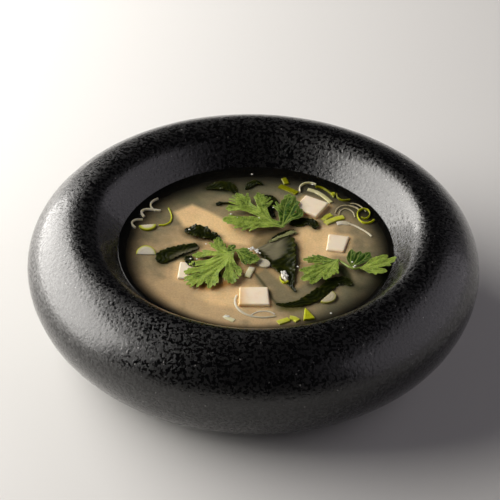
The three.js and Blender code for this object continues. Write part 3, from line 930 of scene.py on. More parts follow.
def strewn_tree() -> Modelled:
    """Grains at a mesh's points and strewn over its faces, each turned and sized by chance.

    Returns:
        A tree with the inputs Size, Spread, Flatness, Density (per square metre) and Seed.
    """
    tree = Modelled("Strewn grains", {
        "Size": 0.4 * MM, "Spread": 0.4, "Flatness": 0.6, "Density": 3e6, "Seed": 2,
    })
    given = tree.given
    seed = {"Seed": given["Seed"]}
    spread = {"Mesh": given["Geometry"], "Density": given["Density"], **seed}
    strewn = tree.add("GeometryNodeDistributePointsOnFaces", spread).outputs["Points"]
    placed = tree.add("GeometryNodeMeshToPoints", {"Mesh": given["Geometry"]}).outputs[0]
    joined = tree.add("GeometryNodeJoinGeometry")
    for points in (strewn, placed):
        tree.tree.links.new(points, joined.inputs[0])
    grain = tree.add("GeometryNodeMeshIcoSphere", {"Radius": 1.0, "Subdivisions": 2}).outputs["Mesh"]
    scales = []
    for sign in ("SUBTRACT", "ADD"):
        wide = tree.math("MULTIPLY", given["Size"], tree.math(sign, 1.0, given["Spread"]))
        flat = tree.math("MULTIPLY", wide, given["Flatness"])
        scales.append(tree.add("ShaderNodeCombineXYZ", {"X": wide, "Y": wide, "Z": flat}).outputs[0])
    chances = []
    for low, high in (scales, ((0, 0, 0), (0, 0, 6.28))):
        chance = {"Min": low, "Max": high, **seed}
        chances.append(tree.add("FunctionNodeRandomValue", chance, data_type="FLOAT_VECTOR").outputs[0])
    grains = {"Points": joined.outputs[0], "Instance": grain, "Scale": chances[0], "Rotation": chances[1]}
    tree.close(tree.add("GeometryNodeInstanceOnPoints", grains).outputs[0])
    return tree


# ---------------- the bowl


@dataclass
class Bowl:
    """The thick rolled bowl."""

    glaze: Material
    thrown: Modelled
    outer_radius: float = 110.0
    equator_height: float = 35.8
    crest_radius: float = 85.5
    crest_height: float = 59.75
    upper_fullness: float = 1.87
    lower_fullness: float = 1.91
    foot_radius: float = 73.9
    foot_width: float = 10.0
    foot_edge: float = 0.5
    recess_depth: float = 3.0
    lip_radius: float = 13.15
    wall_slope: float = math.radians(50.5)
    floor_height: float = 9.0
    floor_fillet: float = 20.0
    opening_shift: float = 1.0
    press_depth: float = 0.45
    press_size: float = 26.0
    still_below: float = 3.0
    segments: int = 480
    steps_below: int = 38
    steps_above: int = 46

    def flank(self, fullness: float, end_height: float, end_radius: float, steps: int) -> Array:
        """A quarter superellipse from the widest ring to an end.

        Args:
            fullness: The superellipse's exponent.
            end_height: Height where it ends.
            end_radius: Radius where it ends.
            steps: How many steps it has.

        Returns:
            Rows of radius and height.
        """
        angle = np.linspace(0, math.pi / 2, steps + 1)
        out = np.cos(angle).clip(0) ** (2 / fullness)
        up = np.sin(angle) ** (2 / fullness)
        radius = end_radius + (self.outer_radius - end_radius) * out
        return np.column_stack([radius, self.equator_height + (end_height - self.equator_height) * up])

    def inner_wall(self, arc_steps: int = 18, wall_steps: int = 14) -> Array:
        """The wall from the crest to the middle of the floor.

        Args:
            arc_steps: Steps round the lip and round the floor's fillet.
            wall_steps: Steps down the straight wall.

        Returns:
            Rows of radius, height and shift.
        """
        turn = np.linspace(0, self.wall_slope, arc_steps + 1)
        lip_r = self.crest_radius - self.lip_radius * np.sin(turn)
        lip_z = self.crest_height - self.lip_radius * (1 - np.cos(turn))
        shift = self.opening_shift * np.minimum(1, turn / (0.8 * self.wall_slope))
        lip = np.column_stack([lip_r, lip_z, shift])[1:]
        foot = lip_r[-1] - (lip_z[-1] - self.floor_height) / math.tan(self.wall_slope)
        centre = foot - self.floor_fillet * math.tan(self.wall_slope / 2)
        back = turn[::-1]
        fillet = np.column_stack([
            centre + self.floor_fillet * np.sin(back),
            self.floor_height + self.floor_fillet * (1 - np.cos(back)),
            np.full(len(back), self.opening_shift)])
        share = np.linspace(0, 1, wall_steps + 1)[1:-1, None]
        wall = lip[-1] + share * (fillet[0] - lip[-1])
        return np.vstack([lip, wall, fillet, [0, self.floor_height, self.opening_shift]])

    def wall_radius(self, height: float) -> float:
        """The inner wall's radius at a height."""
        wall = self.inner_wall()[::-1]
        return float(np.interp(height, wall[:, 1], wall[:, 0]))

    def profile(self) -> Array:
        """The whole section, from under the middle out and over to the floor.

        Returns:
            Rows of radius, height and shift.
        """
        under = self.flank(self.lower_fullness, 0, self.foot_radius, self.steps_below)[::-1]
        over = self.flank(self.upper_fullness, self.crest_height, self.crest_radius, self.steps_above)[1:]
        inside, edge, recess = self.foot_radius - self.foot_width, self.foot_edge, self.recess_depth
        ring = np.array([
            [0, recess], [inside * 0.5, recess], [inside - recess - edge, recess],
            [inside - recess + edge / 2, recess - edge], [inside - edge / 2, edge], [inside + edge, 0],
            [self.foot_radius - edge, 0],
        ])
        outside = np.vstack([ring, under, over])
        outside = np.column_stack([outside, np.zeros(len(outside))])
        return np.vstack([outside, self.inner_wall()])

    def build(self) -> None:
        """Makes the bowl in place of the frame's plain one."""
        piece = new_piece("stoneware_bowl", *turned(self.profile(), self.segments))
        self.thrown.run(piece, self.glaze, Press_Depth=self.press_depth * MM,
                        Press_Size=self.press_size * MM, Still_Below=self.still_below * MM, Seed=11)
        settle(piece, Slot.STONEWARE, "bowl")


# ---------------- the broth


class Tinge(Enum):
    """Colours mixed into the broth: pale curd and onion or darker weed under the surface, near black under
    the left leaf's gaps, pale for painted glow round the cubes, and amber for painted shade under the left
    leaf.
    """

    PALE = linear(240, 205, 152)
    MURKY = linear(116, 112, 88)
    WEED = linear(52, 58, 34)
    NEAR_BLACK = linear(8, 12, 3)
    # painted warm shade under the left leaf
    PAINTED_LEAF_SHADE = linear(170, 112, 20)
    OLIVE = linear(80, 78, 16)


@dataclass(frozen=True)
class SunkPatch:
    """A tofu cube or a seaweed sheet under the surface: its outline, strength, blur and colour."""

    corners: Path
    strength: float
    blur: float
    tinge: Tinge


@dataclass(frozen=True)
class SunkAndShadeStrip:
    """A strip of colour in the broth, most often something under the surface, once painted shade: its path,
    half width, strength, blur and colour.
    """

    path: Path
    half: float
    strength: float
    blur: float
    tinge: Tinge = Tinge.WEED


SUNK_PATCHES = (
    SunkPatch(((-39.5, 27.8), (-30.8, 34.2), (-21.9, 28.4), (-7.9, 16), (3.9, 8), (0.6, 1.4), (-17, 4.6),
               (-34.5, 16)), 0.93, 1.6, Tinge.PALE),
    SunkPatch(((22, 18.4), (39.6, 19), (37, -10.1), (22.4, -10.6)), 0.7, 2.2, Tinge.PALE),
    SunkPatch(((-25.1, -33.9), (-6.2, -33.3), (8.2, -48), (-20.1, -45.2)), 0.7, 2.6, Tinge.PALE),
    SunkPatch(((-0.1, -22.3), (2.3, -28.4), (5.2, -33.7), (8.1, -40.1), (12.4, -43.7), (18, -43.5),
               (24.2, -37.6), (30.9, -28.2), (34.3, -23.5), (28.1, -23.7), (22.3, -30), (17.6, -33.3),
               (14.2, -28), (6, -15.8)), 0.7, 1.6, Tinge.MURKY),
    SunkPatch(((2, -2), (8, 6.5), (17.6, 13.3), (21.4, 2.1), (21.9, -10.6), (17.6, -30.2), (10.4, -15.7)),
              0.9, 1.2, Tinge.MURKY),
)
SUNK_AND_SHADE_STRIPS = (
    SunkAndShadeStrip(((0.3, -19.1), (2.3, -23.1), (5.2, -28.7), (7.6, -34.2), (9, -39.3), (11.5, -43.4), (16, -45)),
              0.6, 0.85, 0.8),
    SunkAndShadeStrip(((16, -45), (22, -42.6), (27, -38)), 1.3, 0.8, 1.2),
    SunkAndShadeStrip(((1.6, -1.8), (4.6, -7.6), (9.4, -14.4), (13.4, -18.6), (16.6, -22)), 1.1, 0.9, 1.0),
    SunkAndShadeStrip(((-22, 50), (-12, 46), (-4, 46)), 3.0, 0.45, 4.0),
    SunkAndShadeStrip(((-3, 47), (0, 40), (4, 36)), 2.0, 0.3, 4.0),
    SunkAndShadeStrip(((44, -26), (50, -30)), 2.5, 0.55, 3.0),
    SunkAndShadeStrip(((45, -25), (44.6, -20), (42, -14)), 2.4, 0.9, 1.4),
    SunkAndShadeStrip(((-43, -12), (-37, -9), (-29, -4)), 2.0, 0.8, 2.0),
    SunkAndShadeStrip(((-37, -5.6), (-33.4, -8), (-29.4, -11.4)), 1.1, 0.85, 0.9),
    # near black under the gaps between the left leaf's lobes
    SunkAndShadeStrip(((-27.4, -8.2), (-22.6, -8.8), (-18.6, -10)), 1.0, 0.85, 0.9, Tinge.NEAR_BLACK),
    SunkAndShadeStrip(((-31.4, -17.2), (-27.6, -16.6), (-24.6, -15.6)), 0.8, 0.8, 0.8, Tinge.NEAR_BLACK),
    SunkAndShadeStrip(((-18.8, -14.8), (-17.6, -18.6), (-16.4, -22.6)), 1.3, 0.95, 0.8, Tinge.NEAR_BLACK),
    # painted warm shade of the left leaf on the broth, not something sunk
    SunkAndShadeStrip(((-28, -28.5), (-22.8, -32), (-17.4, -31), (-12, -28)), 2.0, 0.75, 2.4, Tinge.PAINTED_LEAF_SHADE),
    SunkAndShadeStrip(((14.5, -46.6), (18.4, -47.4), (23, -46)), 1.8, 0.75, 2.2, Tinge.OLIVE),
    SunkAndShadeStrip(((-26, -38), (-22, -41.4), (-17.6, -41.6), (-14.6, -44)), 1.6, 0.4, 2.0, Tinge.PALE),
    SunkAndShadeStrip(((22.6, 12.4), (26.4, 10.4), (29.4, 5.4), (30, -0.6), (28, -3.8)), 0.5, 0.5, 0.7, Tinge.PALE),
    SunkAndShadeStrip(((-33, 38), (-27, 41), (-21, 40)), 1.6, 0.15, 2.5),
    SunkAndShadeStrip(((-9, 17), (-5, 11), (0, 3)), 3.0, 0.22, 6.0),
)


def stroke_depth(x: Array, y: Array, line: Array) -> Array:
    """How far points lie inside a stroke of varying half width.

    Args:
        x, y: The points.
        line: Rows of x, y and half width.

    Returns:
        Signed depths, negative outside.
    """
    depth = np.full(x.shape, -1e9)
    for (ax, ay, start), (bx, by, end) in zip(line, line[1:]):
        run, rise = bx - ax, by - ay
        share = np.clip(((x - ax) * run + (y - ay) * rise) / (run * run + rise * rise), 0, 1)
        away = np.hypot(x - ax - share * run, y - ay - share * rise)
        depth = np.maximum(depth, start + (end - start) * share - away)
    return depth


def path_distance(x: Array, y: Array, path: Path | Array) -> Array:
    """Distance of points from a path of straight stretches."""
    return -stroke_depth(x, y, [(*point[:2], 0.0) for point in path])


def inside_distance(x: Array, y: Array, corners: Path) -> Array:
    """How far each point lies inside a polygon, negative outside.

    Args:
        x, y: The points.
        corners: The polygon's corners in order.

    Returns:
        Signed distances, in the corners' unit.
    """
    inside = np.zeros(x.shape, bool)
    for (ax, ay), (bx, by) in zip(corners, corners[1:] + corners[:1]):
        crosses = (ay > y) != (by > y)
        level = np.where(crosses, (y - ay) / (by - ay + 1e-12), 0)
        inside ^= crosses & (x < ax + level * (bx - ax))
    nearest = path_distance(x, y, corners + corners[:1])
    return np.where(inside, nearest, -nearest)


def spot(x: Array, y: Array, centre: Point, radius: float) -> Array:
    """A round soft spot, 1 at its centre."""
    return np.exp(-((x - centre[0]) ** 2 + (y - centre[1]) ** 2) / (2 * radius ** 2))


@dataclass
class Broth:
    """The soup up to its level, with its surface tinted by what is sunk in it and by painted light and
    shade, darkest near the wall.

    Each row of rim_shade is an angle from +X and the distances from the wall where its shade is
    full and where it ends; that shade is painted, and also stands for the dark bowl seen through the
    shallow broth. Each row of murk is a spot's x, y and radius and how murky it is.
    """

    broth: Material
    bowl: Bowl
    fronds: tuple["Frond", ...]
    cubes: tuple["TofuCube", ...]
    level: float = SOUP_LEVEL
    rings: int = 104
    segments: int = 420
    climb: float = 0.3
    clear: Colour = linear(196, 169, 129)
    warm: Colour = linear(205, 168, 117)
    # painted rim shade near the wall, together with the dark bowl seen through the shallow broth
    shallow_and_rim_shade: Colour = linear(12, 11, 8)
    warm_centre: Point = (-2, -8)
    warm_radius: float = 20.0
    warm_share: float = 0.7
    open_front: Point = (-52, 2)
    open_side: Point = (-72, -18)
    swirl_fineness: float = 0.085
    swirl_share: float = 0.55
    swirl_lift: float = 0.16
    # painted glow of light in the broth round each standing cube
    painted_glow_share: float = 0.6
    painted_glow_reach: Point = (0.3, 4)
    frond_share: float = 0.55
    frond_reach: Point = (-1.5, 2.8)
    rim_shade: tuple[Triple, ...] = (
        (0, 0.5, 13), (30, 1, 16), (60, 3, 21), (90, 5, 24), (120, 5, 22), (150, 3, 18), (180, 2.5, 16),
        (210, 0.6, 11), (240, 2, 9), (270, 3, 9), (300, 0.3, 12), (330, -1, 15))
    murk: tuple[Quad, ...] = (
        (36, -46, 15, 0.85), (22, -50, 9, 0.6), (12, -30, 8, 0.6), (-40, -3, 9, 0.3), (-53, -19, 8, 0.45),
        (-10, 34, 13, 0.6), (-52, 10, 13, 0.5), (-40, 26, 10, 0.45), (-54, -12, 8, 0.25), (50, -24, 12, 0.6),
        (8, -18, 6, 0.5), (26, -22, 6, 0.4), (10, 8, 8, 0.4), (48, 8, 8, -0.5), (-36, -38, 12, -0.4),
        (-6, -46, 10, -0.3))

    def profile(self) -> Array:
        """The section from under the middle, up the wall and back over the surface.

        Returns:
            Rows of radius, height and shift.
        """
        wall = self.bowl.inner_wall()[::-1]
        below = wall[(wall[:, 1] < self.level - 1) & (wall[:, 0] > 0)][::4]
        edge = self.bowl.wall_radius(self.level)
        lifted = self.bowl.wall_radius(self.level + self.climb)
        rim = [[edge + 0.5, self.level - 0.6], [lifted + 0.35, self.level + self.climb - 0.05]]
        for inset, share in ((0.1, 1), (0.45, 0.55), (0.9, 0.25), (1.5, 0.07)):
            rim.append([lifted - inset, self.level + share * self.climb])
        radii = np.linspace(lifted - 2.1, 0, self.rings + 1)
        top = np.column_stack([radii, np.full(len(radii), self.level)])
        section = np.vstack([[0, self.bowl.floor_height], below[:, :2], rim, top])
        return np.column_stack([section, np.full(len(section), self.bowl.opening_shift)])

    def depth(self, x: Array, y: Array) -> Array:
        """How far each point is out of the rim's painted shade, which also stands for the shallow broth by
        the wall.

        Args:
            x, y: The points.

        Returns:
            Shares from 0 at the wall to 1 in the open.
        """
        edge = self.bowl.wall_radius(self.level) - np.hypot(x - self.bowl.opening_shift, y)
        toward = np.degrees(np.arctan2(y, x)) % 360
        angles, *reaches = zip(*self.rim_shade)
        start, end = (np.interp(toward, angles, reach, period=360) for reach in reaches)
        share = np.clip((edge - start) / (end - start), 0, 1)
        return (share * share * (3 - 2 * share)) ** 1.2 * smooth_step(edge, 0.2, 1.4)

    def clearness(self, x: Array, y: Array) -> Array:
        """How clear the broth is between murky patches and swirls.

        Args:
            x, y: The points.

        Returns:
            Shares from 0 where murky to 1 where clear.
        """
        clear = smooth_step(-y, *self.open_front) * smooth_step(-x, *self.open_side)
        for murk_x, murk_y, radius, thickness in self.murk:
            clear *= 1 - thickness * spot(x, y, (murk_x, murk_y), radius)
        places = (Vector((a, b, 5)) * self.swirl_fineness for a, b in zip(x, y))
        swirl = np.array([noise.fractal(place, 0.7, 2.2, 4) for place in places])
        return np.clip(clear * (1 + self.swirl_share * swirl) + self.swirl_lift * swirl, 0, 1)

    def tint(self, x: Array, y: Array) -> Array:
        """The surface's colour at each point.

        Args:
            x, y: The points.

        Returns:
            Rows of linear red, green and blue.
        """
        colour = mixed(np.array(Tinge.MURKY.value), self.clearness(x, y), self.clear)
        colour = mixed(colour, self.warm_share * spot(x, y, self.warm_centre, self.warm_radius), self.warm)
        # painted glow: the broth lightened round each cube, as if lit by the curd
        for cube in self.cubes:
            near = 1 - smooth_step(cube.outside(x, y), *self.painted_glow_reach)
            colour = mixed(colour, self.painted_glow_share * near, Tinge.PALE.value)
        for patch in SUNK_PATCHES:
            share = smooth_step(inside_distance(x, y, patch.corners), -patch.blur, patch.blur)
            colour = mixed(colour, patch.strength * share, patch.tinge.value)
        # strips of what lies under the surface, and painted shade under the left leaf
        for strip in SUNK_AND_SHADE_STRIPS:
            share = 1 - smooth_step(path_distance(x, y, strip.path) - strip.half, -strip.blur, strip.blur)
            colour = mixed(colour, strip.strength * share, strip.tinge.value)
        for frond in self.fronds:
            spine = np.array(frond.spine)
            line = spline(spine, 5 * len(spine))
            away = np.min([np.hypot(x - px, y - py) - half for px, py, _, half in line], axis=0)
            near = 1 - smooth_step(away, *self.frond_reach)
            colour = mixed(colour, self.frond_share * near, Tinge.WEED.value)
        # darker towards the wall: painted rim shade together with the shallow broth
        return mixed(colour, 1 - self.depth(x, y), self.shallow_and_rim_shade)

    def build(self) -> None:
        """Makes the soup in place of the frame's plain one."""
        points, faces = turned(self.profile(), self.segments)
        tint = self.tint(points[:, 0], points[:, 1])
        piece = new_piece("miso_broth", points, faces, self.broth, {"tint": tint})
        settle(piece, Slot.SOUP, "soup")


# ---------------- tofu


@dataclass(frozen=True)
class TofuCube:
    """One tofu cube: the centre of its top face, its sizes, turn, rise, spread to the back, and
    how far its top's rim and one side, given as a direction, take the broth's colour.
    """

    x: float
    y: float
    width: float
    depth: float
    turn: float
    proud: float
    flare: float = 0.0
    rim_soak: float = 0.1
    side_soak: Point = (0.0, 0.0)

    def outside(self, x: Array, y: Array) -> Array:
        """How far points lie from the cube's sides.

        Args:
            x, y: The points.

        Returns:
            Distances, 0 inside.
        """
        cos, sin = math.cos(math.radians(self.turn)), math.sin(math.radians(self.turn))
        u = abs((x - self.x) * cos + (y - self.y) * sin) - self.width / 2
        v = abs((y - self.y) * cos - (x - self.x) * sin) - self.depth / 2
        return np.hypot(np.maximum(u, 0), np.maximum(v, 0))


@dataclass
class Tofu:
    """The cubes that stand out of the soup."""

    curd: Material
    height: float = 12.0
    edge_radius: float = 0.7
    edge_steps: tuple[float, ...] = (0, 0.2, 0.42, 0.66, 1.0, 1.5)
    side_steps: int = 14
    dents: tuple[Point, ...] = ((0.12, 0.35), (0.06, 1.3))
    soak_reach: Point = (0.2, 2.6)
    cubes: dict[str, TofuCube] = field(default_factory=lambda: {
        "back": TofuCube(28, 33, 13.2, 12.8, -28.8, 2.1),
        "right": TofuCube(40.4, 4.3, 9.6, 13.2, -10, 0.85, 0.2, 0.3),
        "front": TofuCube(0.5, -39.2, 14.2, 13.6, 2, 1.6, -0.08, 0.15, (-0.85, -0.1)),
        "left": TofuCube(-29.6, -20, 12.4, 12.8, -4, 1, 0, 0),
    })

    def steps(self, half: float) -> Array:
        """Places along a side of this half length, closer together near its ends."""
        near = self.edge_radius * np.array(self.edge_steps)
        return np.concatenate([
            near - half, np.linspace(near[-1] - half, half - near[-1], self.side_steps + 1)[1:-1],
            half - near[::-1]])

    def cube_mesh(self, cube: TofuCube) -> tuple[Array, list]:
        """Makes a cube with soft, slightly crumbled edges.

        Args:
            cube: The cube.

        Returns:
            Its points, about its middle and unturned, and its faces.
        """
        halves = np.array([cube.width, cube.depth, self.height]) / 2
        shape = bmesh.new()
        for axis in range(3):
            u, v = [k for k in range(3) if k != axis]
            for side in (-1, 1):
                us, vs = self.steps(halves[u]), self.steps(halves[v])
                grid = np.zeros((len(us), len(vs), 3))
                grid[..., axis] = side * halves[axis]
                grid[..., u], grid[..., v] = us[:, None], vs[None, :]
                made = [[shape.verts.new(point) for point in row] for row in grid]
                for i in range(len(us) - 1):
                    for j in range(len(vs) - 1):
                        shape.faces.new((made[i][j], made[i + 1][j], made[i + 1][j + 1], made[i][j + 1]))
        bmesh.ops.remove_doubles(shape, verts=shape.verts, dist=1e-4)
        shape.verts.index_update()
        points = np.array([vert.co[:] for vert in shape.verts])
        faces = [[vert.index for vert in face.verts] for face in shape.faces]
        shape.free()
        inner = np.clip(points, -halves + self.edge_radius, halves - self.edge_radius)
        out = points - inner
        out = out / np.maximum(np.linalg.norm(out, axis=1, keepdims=True), 1e-9)
        points = inner + self.edge_radius * out
        for point, away in zip(points, out):
            seed = Vector(point) + Vector((cube.x, cube.y, 0))
            point -= away * sum(deep * max(0, noise.noise(seed * fineness)) for deep, fineness in self.dents)
        points[:, 0] *= 1 + cube.flare * points[:, 1] / cube.depth
        return points, faces

    def soak(self, cube: TofuCube, points: Array) -> Array:
        """How far the broth has coloured each point.

        Args:
            cube: The cube.
            points: Its points, about its middle and unturned.

        Returns:
            Shares from 0 to 1.
        """
        down = smooth_step(points[:, 2].max() - points[:, 2], *self.soak_reach)
        inset = np.minimum(cube.width / 2 - abs(points[:, 0]), cube.depth / 2 - abs(points[:, 1]))
        rim = cube.rim_soak * (1 - smooth_step(inset, 0.2, 2))
        slope = points[:, :2] @ np.array(cube.side_soak) * 2 / cube.width
        return np.clip(down + rim + np.maximum(slope, 0) ** 1.5, 0, 1)

    def build(self) -> None:
        """Makes each cube in place of the frame's plain one."""
        for name, cube in self.cubes.items():
            points, faces = self.cube_mesh(cube)
            soak = self.soak(cube, points)
            turn = Matrix.Rotation(math.radians(cube.turn), 3, "Z")
            points = points @ np.array(turn).T + [cube.x, cube.y, SOUP_LEVEL + cube.proud - self.height / 2]
            piece = new_piece(f"tofu_cube_{name}", points, faces, self.curd, {"soak": soak})
            settle(piece, Slot.TOFU, f"tofu_{name}")


# ---------------- wakame


@dataclass(frozen=True)
class Frond:
    """One wakame frond.

    Each point of the spine is x, y, rise of the sheet's middle and half width; sides are the lifts
    of its left and right edges. Steeped is how far one side, right if negative, sinks into the
    broth's colour, and olive how pale it is.
    """

    spine: tuple[Quad, ...]
    sides: Point
    ruffle: float
    waves: int
    film: bool = False
    steeped: float = 0.0
    olive: float = 0.0


LYING = 0.65  # rise of a frond's middle where it lies on the soup


@dataclass
class Wakame:
    """The fronds that lie on the soup.

    The fray, frill and pleat are a share, a height and a height, each with how many of them there
    are for each wave. The film's two rows are how far it reaches across on either side, by where
    along the frond.
    """

    skin: Material
    middle_thickness: float = 0.6
    edge_thickness: float = 0.22
    settled: float = 0.42
    deepest: float = -0.5
    across: int = 30
    steps_each: int = 16
    rounded_end: float = 0.03
    fray: Point = (0.07, 2.3)
    frill: Point = (0.12, 3.7)
    pleat: Point = (0.07, 0.5)
    pleats_across: float = 9.0
    film_sink: float = 0.4
    film_left: tuple[Path, ...] = ((0, 1.4), (0.1, 0.96), (0.3, 0.88), (0.5, 0.7))
    film_right: tuple[Path, ...] = (
        (0, 0.9), (0.06, 0.75), (0.13, 0.48), (0.25, 0.34), (0.32, 0.0), (0.41, -1.2))
    part_of: dict[str, str] = field(default_factory=lambda: {
        "fold_centre": "centre", "fold_under": "centre", "strand_left": "between_leaves",
        "bits_left": "left"})
    fronds: dict[str, Frond] = field(default_factory=lambda: {
        "back_left": Frond((
            (-24.6, 47.4, LYING, 0.8), (-20.5, 48.9, 0.9, 2.6), (-15.6, 49.9, 1.2, 3.8), (-11.8, 48, 0.9, 3),
            (-9.6, 44.4, LYING, 0.9)), (0.9, 0.1), 0.2, 3),
        "back": Frond((
            (-4.6, 47.6, LYING, 0.6), (-2.6, 51.2, 0.9, 2), (0.4, 53.4, 1, 1.6), (4.2, 52, LYING, 0.6)),
            (0.5, 0.3), 0.2, 3),
        "folded": Frond((
            (-34, 12.4, 0.9, 1), (-30.5, 11.4, 1.3, 4.2), (-26, 10.2, 1.4, 4.8), (-22, 8.2, 1, 3.2),
            (-18, 7.3, LYING, 2.6), (-16.4, 7.4, LYING, 0.8)), (1.4, 0.8), 0.35, 4),
        "left": Frond((
            (-44.4, -14, LYING, 2.2), (-43, -9.4, 0.9, 4.3), (-38.4, -5.4, 1, 3.7), (-33.2, -2.6, 0.9, 3.2),
            (-27.2, 0.4, LYING, 2.3)), (0.2, 0.6), 0.12, 4, steeped=-0.8),
        "fold_centre": Frond((
            (7.4, 4.2, 0.9, 0.5), (11.2, 6.6, 1.2, 1.1), (15.1, 9.4, 1.2, 1.2), (19.3, 12.4, 1.1, 1.1),
            (20.8, 11.8, LYING, 0.5)), (0.5, 0.2), 0.1, 3, olive=0.85),
        "fold_under": Frond((
            (8.6, 7.2, LYING, 0.3), (11.2, 9.6, 0.8, 0.7), (14.4, 12.2, 0.8, 0.8), (17.6, 14, LYING, 0.6),
            (19.6, 14.6, LYING, 0.4)), (0.3, 0.2), 0.1, 3),
        "strand_left": Frond((
            (-19.2, 34.2, 0.9, 0.7), (-17.4, 35, 1.1, 1.1), (-15.6, 35.6, 0.9, 0.5), (-12, 35.3, 0.8, 0.4),
            (-8.2, 34.5, LYING, 0.35)), (0.4, 0.2), 0.2, 3),
        "bits_left": Frond((
            (-30.6, -8.2, 0.9, 1), (-31, -10.8, 1.3, 2.1), (-30.8, -13.6, 1.6, 2.1),
            (-28.8, -16.4, 1.9, 1.5), (-26.6, -18, 1.9, 0.6)), (0.6, 0.2), 0.3, 3),
        "behind_leaf": Frond((
            (17, 20.2, LYING, 1.4), (21.4, 20.6, LYING, 3.2), (26, 21.6, 0.9, 2.5), (29.2, 19.4, 1.1, 2.2),
            (30.2, 16, 1, 1.4)), (0.2, 0.8), 0.15, 3),
        "centre": Frond((
            (8.6, 4.4, 0.8, 9.6), (10.9, 0, LYING, 9.8), (12.5, -5, LYING, 8), (13.7, -10, LYING, 6.9),
            (15, -15, 0.7, 5.3), (16.6, -19.4, 0.7, 3.5), (17.7, -25, LYING, 2.1), (18.4, -30.5, LYING, 1.0),
            (20.3, -34.2, LYING, 0.5)), (0.3, 1.5), 0.15, 5, film=True),
        "between_leaves": Frond((
            (3.6, 42.8, LYING, 0.8), (7.6, 40.6, 0.8, 2), (9.4, 36.4, 0.8, 2.3), (7.6, 31, LYING, 1.8),
            (9.4, 25.2, LYING, 1.1)), (0.3, 0.3), 0.15, 4),
        "right": Frond((
            (11, -43.8, LYING, 0.7), (16.8, -44.2, LYING, 1.5), (23.6, -42.2, 0.9, 2.6),
            (29.8, -37.4, 1.1, 3.5), (34.6, -31.3, 0.8, 3.1), (39.4, -25.6, 0.7, 3.1),
            (44.2, -25.4, LYING, 2.6), (46.8, -28.6, LYING, 0.9)), (0.1, 0.5), 0.2, 6),
    })

    def rise(self, frond: Frond, line: Array, half: Array, s: Array) -> Array:
        """The height of a frond's middle layer, with its waves.

        Args:
            frond: The frond.
            line: Rows of x, y, rise and half width along its spine.
            half: The half width at each point of the grid.
            s: Where each column lies, from -1 at the left to 1 at the right.

        Returns:
            Rises above the soup.
        """
        turns = 2 * math.pi * frond.waves * np.linspace(0, 1, len(line))[:, None]
        lift = np.where(s < 0, frond.sides[0], frond.sides[1])
        wave = np.sin(turns + 2 * s)
        frill = np.sin(self.frill[1] * turns + 3 * s + 1) * np.abs(s) ** 2
        pleat = np.sin(self.pleats_across * s + 5 * np.sin(self.pleat[1] * turns))
        z = line[:, 2:3] + lift * s * s * np.minimum(1, half / 6) + frond.ruffle * np.abs(s) * wave
        return (np.maximum(z, LYING) - self.settled + self.frill[0] * frill
                + self.pleat[0] * pleat * (1 - 0.4 * s * s))

    def film(self, along: Array, s: Array) -> Array:
        """How far the milky film covers the broad sheet, by where along and across it."""
        right, left = (np.interp(along, *zip(*row)) for row in (self.film_right, self.film_left))
        return smooth_step(right - s, -0.25, 0.6) * smooth_step(s + left, 0, 0.3)

    def sheet(self, frond: Frond) -> tuple[Array, Array, Fields]:
        """Both faces of a frond, with where each point lies.

        Args:
            frond: The frond.

        Returns:
            The upper and lower grids of points, and the fields across, film and olive.
        """
        spine = np.array(frond.spine)
        count = self.steps_each * (len(spine) - 1) + 1
        line = spline(spine, count)
        along = np.linspace(0, 1, count)[:, None]
        s = np.linspace(-1, 1, self.across + 1)[None, :]
        ahead = np.gradient(line[:, :2], axis=0)
        side = np.column_stack([-ahead[:, 1], ahead[:, 0]]) / np.linalg.norm(ahead, axis=1)[:, None]
        end = np.clip(np.minimum(along, 1 - along) / self.rounded_end, 0.05, 1)
        frayed = 1 + self.fray[0] * np.sin(2 * math.pi * frond.waves * self.fray[1] * along + s) * np.abs(s)
        half = line[:, 3:4] * np.sqrt(end) * frayed
        z = self.rise(frond, line, half, s)
        film = self.film(along, s) if frond.film else np.zeros_like(z)
        z = np.maximum(z - self.film_sink * film, self.deepest + self.edge_thickness) + SOUP_LEVEL
        thick = self.edge_thickness + (self.middle_thickness - self.edge_thickness) * (1 - s ** 4)
        x, y = (line[:, k:k + 1] + side[:, k:k + 1] * s * half for k in (0, 1))
        upper, lower = (np.stack([x, y, z + way * thick / 2], -1) for way in (1, -1))
        sunk = smooth_step(s * np.sign(frond.steeped), 0.1, 1) * smooth_step(along, 0.15, 0.6)
        fields = {
            "across": s + 0 * z, "film": np.maximum(film, abs(frond.steeped) * sunk),
            "olive": frond.olive + 0 * z,
        }
        return upper, lower, {key: np.tile(value.ravel(), 2) for key, value in fields.items()}

    def build(self) -> None:
        """Makes each frond in place of the frame's plain one."""
        for name, frond in self.fronds.items():
            upper, lower, fields = self.sheet(frond)
            piece = new_piece(f"wakame_frond_{name}", *slab(upper, lower), self.skin, fields)
            settle(piece, Slot.WAKAME, f"wakame_{self.part_of.get(name, name)}")


# ---------------- coriander


@dataclass(frozen=True)
class Rib:
    """One rib of a leaflet: its path from the base, the blade's half width, and its teeth's tips."""

    path: Path
    half: float
    teeth: Path = ()


@dataclass(frozen=True)
class Leaflet:
    """A blade spread over its ribs.

    It has its rise at the base and at its reach, how far it curls, how light it is, and how much
    lighter it is painted on the side that faces its painted light, and darker on the far side.
    """

    rise: float
    tip: float
    reach: float
    ribs: tuple[Rib, ...]
    curl: float = 0.5
    tone: float = 0.5
    # painted light and shade: how much lighter the side toward the painted light is, and darker the far side
    painted_light_swing: float = 0.0
    painted_light_from: float = 180.0

    @property
    def base(self) -> Point:
        """Where the ribs start."""
        return self.ribs[0].path[0]


